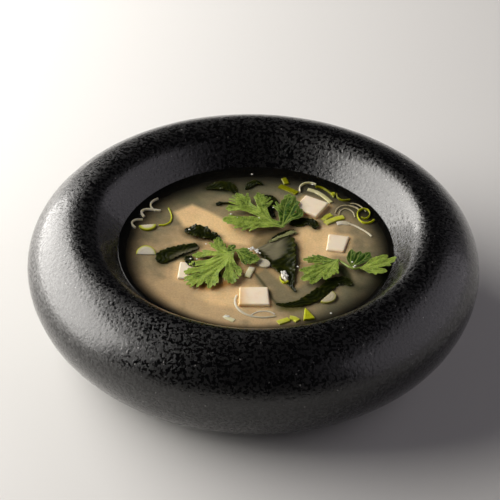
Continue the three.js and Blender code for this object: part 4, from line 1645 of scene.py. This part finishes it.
@dataclass
class Coriander:
    """The leaves that lie on top."""

    leaf: Material
    stalk: Material
    strip: Modelled
    thickness: float = 0.32
    lowest: float = 0.32
    stem_radius: float = 0.6
    cell: float = 0.3
    rib_steps: int = 14
    rib_half: float = 0.34
    rib_narrowing: float = 0.14
    lesser_half: float = 0.22
    keel: float = 0.3
    vein_depth: float = 0.27
    tooth_half: float = 1.1
    tooth_tip: float = 0.55
    fillet: float = 0.16
    rim_width: float = 0.9
    edge_width: float = 0.3
    fold_fineness: float = 0.14
    crimp_fineness: float = 0.42
    crimp: float = 0.35
    sprigs: dict[str, tuple[Leaflet, ...]] = field(default_factory=lambda: {
        "back": (Leaflet(2.6, 3.1, 28, (
            Rib(((13.6, 14.4), (9.7, 16.5), (3.3, 17.2), (-5, 17), (-13.6, 18.3)), 4.3, (
                (-12.4, 22.1), (-12.8, 15.1), (-9.3, 12.1), (-5.7, 10.9), (-1.9, 10.5), (0.9, 13.5))),
            Rib(((8.7, 17.6), (3.2, 23), (-4.2, 27.1), (-13.3, 28)), 2, ((-12.7, 29.6), (-12.5, 26.3))),
            Rib(((8.9, 17.6), (2.7, 24.6), (-3.8, 31.2), (-8.6, 40.1)), 2.3, (
                (-12.3, 35.6), (-12.4, 32.5), (-10.8, 38.4), (-6.6, 39.6), (-3.6, 40.3), (-2.8, 37.4))),
            Rib(((8.9, 17.6), (5.2, 24.8), (2.9, 32.8), (1.8, 40.5)), 2.2, (
                (0, 37.6), (4.3, 40), (5.8, 37.9), (7.6, 37.1), (8.6, 34.6))),
            Rib(((13.6, 14.4), (14.3, 21.1), (14.8, 29.2), (17, 38.6)), 2.7, (
                (9.4, 31), (10.6, 33.6), (13.6, 35.4), (15.2, 38.4), (19.3, 38.2))),
            Rib(((14.1, 15.4), (17, 23.6), (19, 30.1), (20.8, 34.6)), 2, ((20, 37.4), (22, 34))),
            Rib(((13.8, 15), (17.5, 20.4), (20.9, 22.9), (23.1, 26.2)), 2, (
                (21.6, 30.2), (23.2, 28.4), (23.5, 24.2), (21.4, 21.3))),
        ), 0.7, tone=0.16, painted_light_swing=0.5),),
        "left": (Leaflet(2.5, 1.3, 34, (
            Rib(((-8.6, -5.2), (-12.4, -7), (-16.3, -3.9), (-17.2, 4.3)), 2.4, (
                (-14, -0.6), (-15.6, 2), (-19.1, 2.8), (-21.4, 0), (-20.4, -2.4))),
            Rib(((-9.5, -6.2), (-11, -4), (-9.6, -1.6)), 1.6, ((-11.8, -2),)),
            Rib(((-10.2, -7.4), (-15.3, -8.4), (-22, -8.2), (-28.7, -9.4)), 1.8, (
                (-26.9, -6.7), (-24.4, -5.2), (-27.2, -10.7))),
            Rib(((-10.2, -7.4), (-15.2, -10.9), (-21.4, -14.4), (-30.2, -16.4)), 1.8, (
                (-29.3, -14.5), (-28.7, -17.6))),
            Rib(((-10, -7.6), (-16.1, -14), (-22.2, -19), (-32.4, -22.2)), 1.9, (
                (-31, -20.1), (-32.1, -23.8))),
            Rib(((-10.2, -7.8), (-15.1, -15.5), (-21.6, -22.3), (-30.5, -30.4)), 2.2, (
                (-32.3, -26.3), (-32.6, -28.6), (-31.4, -31.2), (-29.5, -33), (-26.4, -33), (-25, -31.2))),
            Rib(((-10, -7.8), (-14.2, -15.5), (-18.7, -23.8), (-20.9, -33)), 1.8, (
                (-22.2, -30.1), (-22.9, -28.3), (-20.4, -33.3), (-18.2, -32), (-16.9, -30))),
            Rib(((-10, -7.4), (-11.3, -12.4), (-11.4, -20), (-9.8, -29.5)), 1.9, (
                (-14.1, -26), (-13.2, -27.6), (-11.7, -29.6), (-8.4, -28.8), (-7.3, -26.8))),
            Rib(((-10.4, -9), (-10.1, -14.7), (-8.3, -18.8), (-5.9, -20.6)), 1.4, (
                (-6.9, -18.6), (-5.8, -22), (-6.3, -25), (-7.3, -23.6))),
        ), 0.55, tone=0.06, painted_light_swing=0.75, painted_light_from=215), Leaflet(2.5, 2.1, 14, (
            Rib(((-8.6, -5), (-5, -8.2), (-1.8, -10.4), (1.8, -11.6)), 2.7, (
                (1, -8.4), (-0.8, -6.8), (1.4, -13.8))),
            Rib(((-8, -5.4), (-5.6, -5.6), (-2.6, -5)), 1.5, ((-5, -3.8),)),
            Rib(((-7.6, -6), (-5.4, -10), (-3.8, -15)), 1.8, ((-5.4, -14), (-1.4, -15.2), (0.4, -14.8))),
        ), 0.3, tone=0.4, painted_light_swing=0.3)),
        "right": (Leaflet(2.6, 2.1, 22, (
            Rib(((40.8, -11.3), (36.6, -12.2), (31, -12), (24.6, -11.6)), 1.9, (
                (33, -9.2), (31, -8.2), (28.6, -8.2), (26.6, -9.6), (26.4, -13.6), (29.6, -14.8))),
            Rib(((40, -12), (35, -15.4), (29, -18.6), (22.8, -19.8)), 1.9, (
                (24, -18), (24.4, -22), (28, -16.8))),
            Rib(((40, -12), (35, -17), (29.4, -22), (23.6, -26.6)), 2.4, ((23.6, -24.8), (24.4, -28))),
            Rib(((40, -12), (36, -17), (31.4, -23), (27.8, -29.4)), 2.2, (
                (25.8, -27.8), (29.6, -28.6), (31, -26.4))),
            Rib(((40.4, -11.6), (38.8, -15), (36.6, -20), (34.4, -25.8)), 2.2, (
                (33.4, -23.4), (36.6, -25), (38.6, -22.8), (40.4, -21.6), (40.4, -18.6))),
        ), 0.4, tone=0.15, painted_light_swing=0.4, painted_light_from=245), Leaflet(2.7, 3.2, 14, (
            Rib(((46.9, -16), (46.6, -11.6), (47.2, -4.4)), 1.7, ((45.2, -9.6), (48.6, -6))),
            Rib(((47.4, -16), (49.6, -11), (51.2, -5.8)), 1.8, ((50, -7.6), (52.8, -7.2))),
            Rib(((48, -16.4), (52.4, -11.6), (55.6, -6.6)), 2, ((54, -6.4), (56.4, -9.4), (56.2, -11.4))),
        ), 0.3, tone=-0.25), Leaflet(2.9, 4.2, 19, (
            Rib(((51.7, -18), (56.4, -14.2), (60, -11.8), (63.8, -9.2)), 2, (
                (57.4, -11), (59, -9.9), (61.2, -9.8))),
            Rib(((52, -18), (58, -16.4), (63, -14.4), (67.8, -10.8)), 2, (
                (65, -11.4), (67.4, -13.2), (65.4, -16.2))),
            Rib(((52, -18.2), (56, -19.4), (59.6, -20.2), (63, -20.8)), 2.1, (
                (56, -21.6), (58.4, -22.8), (61, -22))),
        ), 0.25, tone=0.7)),
    })
    stems: dict[str, tuple[Triple, ...]] = field(default_factory=lambda: {
        "right": (
            (40.4, -11, 2.6), (43, -13.2, 2.6), (46.2, -16.4, 2.6), (48.6, -17.6, 2.7), (51.4, -17.2, 2.9)),
    })

    def strokes(self, leaflet: Leaflet) -> tuple[list[Array], list[Array]]:
        """The leaflet's ribs, and the lesser veins that run from them to the teeth.

        Args:
            leaflet: The leaflet.

        Returns:
            Rows of x, y and the blade's half width, for each rib and for each lesser vein.
        """
        ribs, lesser = [], []
        for rib in leaflet.ribs:
            line = spline(np.array([(x, y, 0) for x, y in rib.path], float), self.rib_steps)
            share = np.linspace(0, 1, len(line))
            tip = np.clip((1.05 - share) / 0.24, 0, 1) ** 0.5
            line[:, 2] = np.maximum(rib.half * np.minimum(0.3 + 1.5 * share, 1) * tip, 0.3)
            ribs.append(line)
            for tooth in rib.teeth:
                away = np.hypot(*(line[:, :2] - tooth).T)
                foot = line[max(int(np.argmin(away)) - 3, 0), :2]
                bow = (np.array(tooth) + foot) / 2
                lesser.append(np.array([
                    [*foot, self.tooth_half], [*bow, self.tooth_half], [*tooth, self.tooth_tip]]))
        return ribs, lesser

    def outline(self, strokes: list[Array]) -> tuple[Array, Array, list]:
        """The blade's grid of points, cut along the outline of its strokes.

        Args:
            strokes: Rows of x, y and half width for each stroke.

        Returns:
            The points' x and y, and the faces between them.
        """
        every = np.vstack(strokes)
        low = every[:, :2].min(0) - 3
        across, down = np.ceil((every[:, :2].max(0) + 3 - low) / self.cell).astype(int) + 1
        columns, rows = (low[k] + self.cell * np.arange(count) for k, count in ((0, across), (1, down)))
        x, y = np.meshgrid(columns, rows, indexing="ij")
        depths = np.array([stroke_depth(x, y, line) for line in strokes])
        inside = self.fillet * np.log(np.exp(np.clip(depths, -9, 9) / self.fillet).sum(0))
        spots, faces = trimmed_grid(inside)
        return low[0] + self.cell * spots[:, 0], low[1] + self.cell * spots[:, 1], faces

    def sheet(self, leaflet: Leaflet) -> tuple[Array, list, Fields]:
        """The leaflet's blade as a thin solid, with its veins.

        Args:
            leaflet: The leaflet.

        Returns:
            The points and faces, and the fields vein, edge and tone.
        """
        ribs, lesser = self.strokes(leaflet)
        x, y, faces = self.outline(ribs + lesser)
        depth = np.maximum(np.max([stroke_depth(x, y, line) for line in ribs + lesser], axis=0), 0)
        out = np.hypot(x - leaflet.base[0], y - leaflet.base[1])
        share = np.clip(out / leaflet.reach, 0, 1)
        off_rib, off_lesser = (
            np.min([path_distance(x, y, line) for line in lines], axis=0) for lines in (ribs, lesser))
        main = np.exp(-(off_rib / (self.rib_half - self.rib_narrowing * share)) ** 2)
        side = np.exp(-(off_lesser / self.lesser_half) ** 2)
        quilt = (1 - np.exp(-(off_rib / 1.2) ** 2)) * (0.6 + 0.4 * (1 - np.exp(-(off_lesser / 0.9) ** 2)))
        rim = np.exp(-depth / self.rim_width)
        folds, crimp = (
            np.array([noise.noise(Vector((a, b, level)) * fineness) for a, b in zip(x, y)])
            for level, fineness in ((leaflet.reach, self.fold_fineness), (leaflet.tip, self.crimp_fineness)))
        z = leaflet.rise + (leaflet.tip - leaflet.rise) * share ** 1.5 + leaflet.curl * folds * (0.4 + share)
        z = z + self.crimp * crimp * rim + self.vein_depth * (quilt - 0.6) * smooth_step(out, 1, 5)
        top = np.maximum(z - 0.1, self.lowest) + self.thickness / 2 + SOUP_LEVEL
        thick = self.thickness * (1 - 0.4 * rim) + self.keel * main * (1 - share)
        # painted light and shade: each leaflet lighter on the side toward its painted light, darker on the
        # far side
        lit = np.cos(np.arctan2(y - leaflet.base[1], x - leaflet.base[0]) - math.radians(leaflet.painted_light_from))
        fields = {
            "vein": np.maximum(main * (1 - 0.5 * share), 0.5 * side) * smooth_step(depth, 0.1, 0.8),
            "edge": np.exp(-depth / self.edge_width),
            "tone": leaflet.tone + leaflet.painted_light_swing * lit * smooth_step(out, 0, 8) + 0.25 * folds,
        }
        points = np.vstack([np.column_stack([x, y, top]), np.column_stack([x, y, top - thick])])
        return points, backed(faces, len(x)), {key: np.tile(value, 2) for key, value in fields.items()}

    def build(self) -> None:
        """Makes each sprig in place of the frame's plain one, and its stem."""
        for name, leaflets in self.sprigs.items():
            for number, leaflet in enumerate(leaflets):
                points, faces, fields = self.sheet(leaflet)
                piece = new_piece(f"coriander_leaf_{name}_{number}", points, faces, self.leaf, fields)
                settle(piece, Slot.CORIANDER, f"coriander_{name}")
            if name in self.stems:
                path = [(x, y, rise - self.stem_radius) for x, y, rise in self.stems[name]]
                stem = strand(f"coriander_stem_{name}", path)
                width = 2 * self.stem_radius * MM
                self.strip.run(stem, self.stalk, Width=width, Height=width,
                               Corner=self.stem_radius * 0.95 * MM, Taper=0.3, Steps=40)
                settle(stem, Slot.CORIANDER, f"coriander_{name}")


# ---------------- spring onion


def strand(name: str, path: list[Triple]) -> Item:
    """Makes a bare line, ready for a strip tree.

    Args:
        name: The object's name.
        path: Points of x, y and rise.

    Returns:
        The new object.
    """
    line = spline(np.array(path, float), 8 * (len(path) - 1) + 1) + [0, 0, SOUP_LEVEL]
    mesh = bpy.data.meshes.new(name)
    mesh.from_pydata((line * MM).tolist(), [(k, k + 1) for k in range(len(line) - 1)], [])
    return linked(name, mesh)


class Blade(Enum):
    """How green a piece of spring onion is at its start and end, and how steeped it is there."""

    WHITE = (0, 0.05, 0, 0)
    DULL = (0, 0.05, 0.3, 0.3)
    PALE = (0.14, 0.24, 0, 0)
    RINGED = (0.02, 0.8, 0, 0)
    LIME = (0.75, 0.6, 0, 0)
    SOFT = (0.5, 0.56, 0.05, 0.05)
    GREEN = (0.6, 0.85, 0, 0)
    OLIVE = (1, 0.9, 0, 0)
    FILM = (0, 0, 0, 0.8)
    GREYED = (0.08, 0.16, 0.25, 0.25)
    LEAFY = (0.24, 0.34, 0.3, 0.2)
    MURKY = (0.04, 0.7, 0.6, 0.45)
    FAINT = (0.1, 0.1, 0.85, 0.85)


@dataclass(frozen=True)
class Shred:
    """A standing strip: wall thickness, height, kind, path of x and y on the soup, and taper."""

    thickness: float
    height: float
    blade: Blade
    path: Path
    taper: float = 0.35


@dataclass(frozen=True)
class Slice:
    """A flat cut piece: an oval's centre, half axes, turn, angles kept, tilt, point and thin rind."""

    x: float
    y: float
    long: float
    short: float
    turn: float
    start: float
    end: float
    tilt: float
    blade: Blade
    point: float = 0.0
    rind: float = 7.0


@dataclass
class SpringOnion:
    """The shreds and slices of spring onion."""

    flesh: Material
    strip: Modelled
    afloat: float = 0.3
    sunk: float = 0.35
    draught: float = 0.7
    waver: float = 0.25
    slice_thickness: float = 0.8
    slice_draught: float = 0.5
    slice_rings: int = 14
    slice_steps: int = 72
    groove_depth: float = 0.06
    grooves: int = 3
    shreds: dict[str, Shred] = field(default_factory=lambda: {
        "curl_left_front": Shred(0.7, 1, Blade.DULL, (
            (-54.8, 20.3), (-57, 20.4), (-59, 19.6), (-60, 17.7), (-59.3, 15.5), (-58, 13.7))),
        "curl_left_middle": Shred(1.15, 1, Blade.DULL, (
            (-46.4, 28), (-49.3, 28.5), (-51.9, 28.9), (-54.1, 28.8), (-55.5, 27.3), (-55.3, 25),
            (-54.2, 22.9))),
        "curl_left_back": Shred(0.75, 1, Blade.DULL, (
            (-48, 38), (-49.8, 36.6), (-51.2, 34.4), (-51.3, 31.6), (-50.2, 29.3), (-49, 27.8))),
        "arc_left": Shred(0.65, 0.8, Blade.LIME, (
            (-42.5, 30.4), (-41.3, 26.8), (-40.7, 22.9), (-41.4, 19), (-43.8, 16.6), (-46.8, 16.2))),
        "loop_back": Shred(0.6, 1.2, Blade.PALE, (
            (22.6, 46.2), (22.3, 48.8), (22.9, 51.2), (24.4, 53), (26.8, 53.8), (29, 53.4), (30.5, 52.6))),
        "shred_back_outer": Shred(0.8, 1, Blade.OLIVE, (
            (30.4, 51), (33.3, 50.3), (35.9, 48), (37.9, 45.3), (39.5, 42.4))),
        "shred_back_inner": Shred(2.2, 0.7, Blade.LEAFY, (
            (26.4, 48.6), (29.8, 47.2), (33, 44.6), (35.6, 41.4), (38, 37.9)), 0.8),
        "shred_right_back": Shred(0.7, 1, Blade.OLIVE, (
            (40.8, 45), (41.2, 42), (43.4, 40), (45.6, 39.9), (47.4, 40.5))),
        "strand_far": Shred(0.6, 0.4, Blade.FAINT, ((47.3, 37.7), (50.3, 37.4), (52.7, 35.4), (55.1, 31.3))),
        "shred_right_middle": Shred(0.8, 0.5, Blade.FAINT, (
            (40, 29.4), (40.8, 32.6), (42.8, 35), (45.4, 35.9), (48.2, 35.4), (50.6, 34), (52, 31.8))),
        "loop_inner": Shred(0.6, 0.4, Blade.FAINT, (
            (41.7, 27.7), (42.5, 31), (44.8, 33.2), (47.2, 32.4), (48.9, 30), (49.6, 26.3))),
        "spiral_right": Shred(0.5, 1.1, Blade.GREEN, (
            (59, 24), (56.7, 21.7), (53.7, 21.5), (51.6, 24.1), (50.8, 27.8), (51.5, 31.2), (53.8, 33),
            (56.2, 32), (57, 29), (56.1, 26.1), (54.4, 24.8), (52.6, 25.8))),
        "strand_right": Shred(0.8, 0.6, Blade.GREYED, (
            (46.3, 20.8), (49.4, 19.2), (52.5, 16.6), (55.4, 13.8), (57.4, 11))),
        "leaf_right_front": Shred(3.2, 0.7, Blade.SOFT, (
            (35, 20.6), (37.8, 22.8), (41, 24.8), (44, 26)), 0.8),
        "leaf_right_back": Shred(2.8, 0.5, Blade.SOFT, ((33.8, 23.4), (35.4, 26), (38, 28))),
        "film_right": Shred(3, 0.35, Blade.FILM, ((40.6, 20.8), (43.4, 21.6), (46.6, 20.8))),
        "leaf_back": Shred(3.4, 0.7, Blade.OLIVE, ((12.4, 51), (15.2, 49.4), (18, 47.4), (20.9, 45.2)), 0.7),
        "leaf_back_tip": Shred(2.8, 0.7, Blade.OLIVE, ((14.4, 57.4), (15.2, 55.2), (15.8, 52.8))),
        "shred_centre": Shred(3.1, 0.8, Blade.PALE, ((-0.7, -16.2), (-1.8, -19.8), (-3, -23.8))),
        "leaf_front_left": Shred(3.2, 0.7, Blade.SOFT, ((12, -57.8), (14.4, -56.5), (17, -55)), 0.85),
        "leaf_front_middle": Shred(3, 0.7, Blade.SOFT, ((17.4, -53.9), (19.4, -54.2), (21.2, -56))),
        "arc_centre": Shred(0.6, 1.2, Blade.LIME, (
            (12.8, -23.4), (13.4, -26.4), (15, -27.8), (16.7, -26.8))),
        "film_front": Shred(1.3, 0.35, Blade.FILM, (
            (-7.5, -37.4), (-8.3, -41), (-7.9, -44.8), (-6, -48.8), (-2.8, -51.8), (1.2, -53.4),
            (6.2, -53.6), (11, -52.6))),
        "shred_low": Shred(2.7, 0.3, Blade.PALE, ((-13.2, -53), (-11, -55), (-8.6, -56.6))),
        "film_inner": Shred(0.9, 0.25, Blade.DULL, (
            (-1.2, -52.7), (1.6, -50), (4.9, -49), (8.2, -49.4), (10.5, -51.2))),
    })
    slices: dict[str, Slice] = field(default_factory=lambda: {
        "slice_left": Slice(-52, -7, 4.8, 5, 0, 0, 180, 21, Blade.RINGED),
        "slice_left_back": Slice(-52.3, 15.6, 4.2, 3.9, 10, 180, 360, 0, Blade.RINGED, rind=3.0),
        "slice_centre": Slice(4.6, -12.8, 3.8, 2.9, -40, 0, 360, 0, Blade.GREYED),
        "slice_right": Slice(34.9, -37.9, 4.9, 4.3, 54, 180, 360, 0, Blade.MURKY),
        "leaf_front_right": Slice(26.5, -54.8, 8, 2.7, 103, -92, 92, 0, Blade.LIME, point=0.85),
        "disc_back": Slice(39, 44.8, 1.1, 1.1, 0, 0, 360, 0, Blade.LIME),
        "shard_centre": Slice(15, -23, 3.2, 1.3, -68, 0, 360, 8, Blade.WHITE),
    })
    part_of: dict[str, str] = field(default_factory=lambda: {
        "strand_far": "shred_right_back", "loop_inner": "shred_right_middle", "arc_centre": "slice_centre",
        "film_inner": "film_front", "shred_low": "film_front", "film_right": "leaf_right_front",
        "disc_back": "shred_back_outer", "shard_centre": "slice_centre",
    })

    def finish(self, name: str, piece: Item, blade: Blade) -> None:
        """Keeps how green and steeped each point is, from where it lies, and settles the piece.

        Args:
            name: The piece's short name.
            piece: The piece.
            blade: Its kind.
        """
        mesh = piece.data
        along = np.zeros(len(mesh.vertices), np.float32)
        mesh.attributes["along"].data.foreach_get("value", along)
        start, end, near, far = blade.value
        for key, first, last in (("green", start, end), ("steeped", near, far)):
            values = first + (last - first) * along
            mesh.attributes.new(key, "FLOAT", "POINT").data.foreach_set("value", values)
        settle(piece, Slot.SPRING_ONION, f"onion_{self.part_of.get(name, name)}")

    def shred(self, name: str, spec: Shred, seed: int) -> Item:
        """Makes a strip that stands in the soup as deep as its draught.

        Args:
            name: The piece's short name.
            spec: Its sizes and path.
            seed: What makes its waver its own.

        Returns:
            The new piece.
        """
        height = spec.height + self.draught
        middle = self.afloat + spec.height - self.sunk - height / 2
        piece = strand(f"spring_onion_{name}", [(x, y, middle) for x, y in spec.path])
        corner = min(0.3 * spec.thickness, 0.4)
        return self.strip.run(
            piece, self.flesh, Width=spec.thickness * MM, Height=height * MM, Corner=corner * MM,
            Taper=spec.taper, Waver=self.waver * MM, Steps=24 + 8 * len(spec.path), Seed=seed)

    def slice(self, name: str, spec: Slice) -> Item:
        """Makes a flat piece with a soft edge, whose rings show at its cut face.

        Args:
            name: The piece's short name.
            spec: Its sizes and place.

        Returns:
            The new piece.
        """
        turn = np.radians(np.linspace(spec.start, spec.end, self.slice_steps + 1))[:, None]
        share = np.linspace(0, 1, self.slice_rings + 1)[None, :]
        width = (1 - spec.point) * np.abs(np.sin(turn)) + spec.point * (1 - np.abs(np.cos(turn)))
        rim = np.column_stack([spec.long * np.cos(turn), spec.short * np.sign(np.sin(turn)) * width])
        middle = np.zeros(2) if spec.end - spec.start >= 360 else rim[[0, -1]].mean(0)
        x, y = (middle[k] + (rim[:, k:k + 1] - middle[k]) * share for k in (0, 1))
        groove = self.groove_depth * np.cos(2 * math.pi * self.grooves * share)
        soft = 0.25 * self.slice_thickness * share ** 12
        upper = np.stack([x, y, self.slice_thickness + groove - soft + 0 * x], -1)
        lower = np.stack([x, y, soft - self.slice_draught + 0 * x], -1)
        points, faces = slab(upper, lower)
        turned_by, tilted_by = math.radians(spec.turn), math.radians(spec.tilt)
        place = Matrix.Rotation(turned_by, 3, "Z") @ Matrix.Rotation(tilted_by, 3, "X")
        points = points @ np.array(place).T + [spec.x, spec.y, self.afloat - 0.03 * spec.tilt + SOUP_LEVEL]
        along = np.tile((share ** spec.rind + 0 * x).ravel(), 2)
        return new_piece(f"spring_onion_{name}", points, faces, self.flesh, {"along": along})

    def build(self) -> None:
        """Makes each piece in place of the frame's plain one."""
        for seed, (name, spec) in enumerate(self.shreds.items()):
            self.finish(name, self.shred(name, spec, seed), spec.blade)
        for name, spec in self.slices.items():
            self.finish(name, self.slice(name, spec), spec.blade)


# ---------------- foam


@dataclass
class Foam:
    """Bubbles: patches as outlines of x and y with a rise, and single ones as x, y and rise."""

    skin: Material
    strewn: Modelled
    bubble_size: float = 0.42
    per_square_mm: float = 4.0
    patches: tuple[tuple[float, Path], ...] = (
        (2.8, ((-2.3, -4.4), (-0.6, -3.2), (0.2, -4.4), (-1.2, -5.4))),
        (2.7, ((0, -4.2), (1.8, -4.9), (3, -7.6), (1.6, -7.2))),
        (1.5, ((13.6, -20.4), (15.1, -20), (16.4, -23.4), (15.4, -25.6), (14.2, -23.8))),
    )
    single: tuple[Triple, ...] = (
        (-11.5, 26.5, 0.5), (-1.6, 60.7, 0.3), (-23.2, 0.9, 1.1), (-30.3, -11.3, 1.2), (-27.2, -11.2, 1.1),
        (21.4, -15.8, 1.2), (36.8, -49.8, 0.3), (47.4, -13.4, 2.9), (48.7, -16.5, 3.1), (48.2, -17.7, 3.1),
        (28.8, 52.2, 0.9), (-8.5, 20.6, 2.9), (2.4, 20.4, 2.8), (9.4, 30.8, 1.8), (-31.6, 11.8, 1.4),
        (-12.6, -53.6, 0.2), (-11.8, -54, 0.2), (-11.2, -53.4, 0.2))

    def build(self) -> None:
        """Makes the bubbles, which the frame has no node for."""
        points, faces = [], []
        for rise, outline in self.patches:
            faces.append(list(range(len(points), len(points) + len(outline))))
            points += [(x, y, SOUP_LEVEL + rise) for x, y in outline]
        points += [(x, y, SOUP_LEVEL + rise) for x, y, rise in self.single]
        piece = new_piece("foam_bubbles", np.array(points), faces, closed=False)
        self.strewn.run(piece, self.skin, Size=self.bubble_size * MM, Spread=0.45, Flatness=0.7,
                        Density=self.per_square_mm / MM ** 2, Seed=4)
        settle(piece, Slot.SOUP)


# ---------------- studio


@dataclass(frozen=True)
class Softbox:
    """A rectangular light that points at the soup: its direction, distance, size, radiance and colour."""

    name: str
    toward: Triple
    distance: float
    size: Point
    radiance: float
    colour: Colour

    def build(self, aim: Vector) -> None:
        """Hangs the light so that its face has the given radiance.

        Args:
            aim: What it points at, in metres.
        """
        data = bpy.data.lights.new(self.name, "AREA")
        data.shape = "RECTANGLE"
        data.size, data.size_y = self.size
        data.color = self.colour
        data.energy = self.radiance * math.pi * self.size[0] * self.size[1]
        lamp = linked(self.name, data)
        away = Vector(self.toward).normalized()
        lamp.location = aim + away * self.distance
        lamp.rotation_euler = away.to_track_quat("Z", "Y").to_euler()


@dataclass
class Studio:
    """The pale floor, the soft lights and the camera, with lengths in metres and angles in radians."""

    paper: Material
    elevation: float = math.radians(37.358)
    distance: float = 1.2464
    aim: Triple = (-0.001814, 0.0, 0.042733)
    roll: float = 0.020537
    lens: float = 184.97
    sensor: float = 36.0
    clip: Point = (0.05, 20)
    floor_half: float = 9.0
    light_aim: Triple = (0, 0, 0.04)
    sky: Colour = (0.02, 0.02, 0.022)
    softboxes: tuple[Softbox, ...] = (
        Softbox("key_softbox", (-0.886, 0.322, 0.334), 0.7, (1.09, 0.7), 7.7, (1.0, 0.97, 0.93)),
        Softbox("fill_softbox", (0.955, 0.033, 0.292), 1.1, (1.8, 1.2), 0.74, (0.98, 0.92, 1.0)),
    )

    def camera(self) -> None:
        """Places the camera."""
        data = bpy.data.cameras.new("camera")
        data.lens, data.sensor_width = self.lens, self.sensor
        data.clip_start, data.clip_end = self.clip
        view = linked("camera", data)
        away = Vector((0, -math.cos(self.elevation), math.sin(self.elevation)))
        view.location = Vector(self.aim) + away * self.distance
        tilt = Matrix.Rotation(math.pi / 2 - self.elevation, 4, "X")
        view.rotation_euler = (tilt @ Matrix.Rotation(self.roll, 4, "Z")).to_euler()
        bpy.context.scene.camera = view

    def floor(self) -> None:
        """Lays the floor."""
        half = self.floor_half / MM
        corners = [[-half, -half, 0], [half, -half, 0], [half, half, 0], [-half, half, 0]]
        paper = new_piece("studio_floor", corners, [[0, 1, 2, 3]], self.paper, closed=False)

    def build(self) -> None:
        """Sets up the floor, lights, sky and camera."""
        self.camera()
        self.floor()
        for softbox in self.softboxes:
            softbox.build(Vector(self.light_aim))
        world = bpy.data.worlds.new("studio_sky")
        world.use_nodes = True
        background = world.node_tree.nodes["Background"]
        background.inputs["Color"].default_value = (*self.sky, 1)
        background.inputs["Strength"].default_value = 1.0
        bpy.context.scene.world = world
        bpy.context.scene.view_settings.view_transform = "Standard"


# ---------------- all together


def main() -> None:
    """Builds every sub-assembly in order."""
    logging.basicConfig(level=logging.INFO, format="%(name)s %(message)s")
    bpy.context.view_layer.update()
    groups = Groups()
    bowl = Bowl(StonewareGlaze().build(groups), thrown_tree())
    bowl.build()
    wakame = Wakame(WakameSkin().build(groups))
    tofu = Tofu(TofuCurd().build(groups))
    Broth(MisoBroth().build(groups), bowl, tuple(wakame.fronds.values()), tuple(tofu.cubes.values())).build()
    tofu.build()
    wakame.build()
    strip = strip_tree()
    Coriander(CorianderLeaf().build(groups), CorianderStalk().build(groups), strip).build()
    SpringOnion(OnionFlesh().build(groups), strip).build()
    Foam(FoamSkin().build(groups), strewn_tree()).build()
    Studio(StudioPaper().build(groups)).build()
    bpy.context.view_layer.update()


if __name__ == "__main__":
    main()
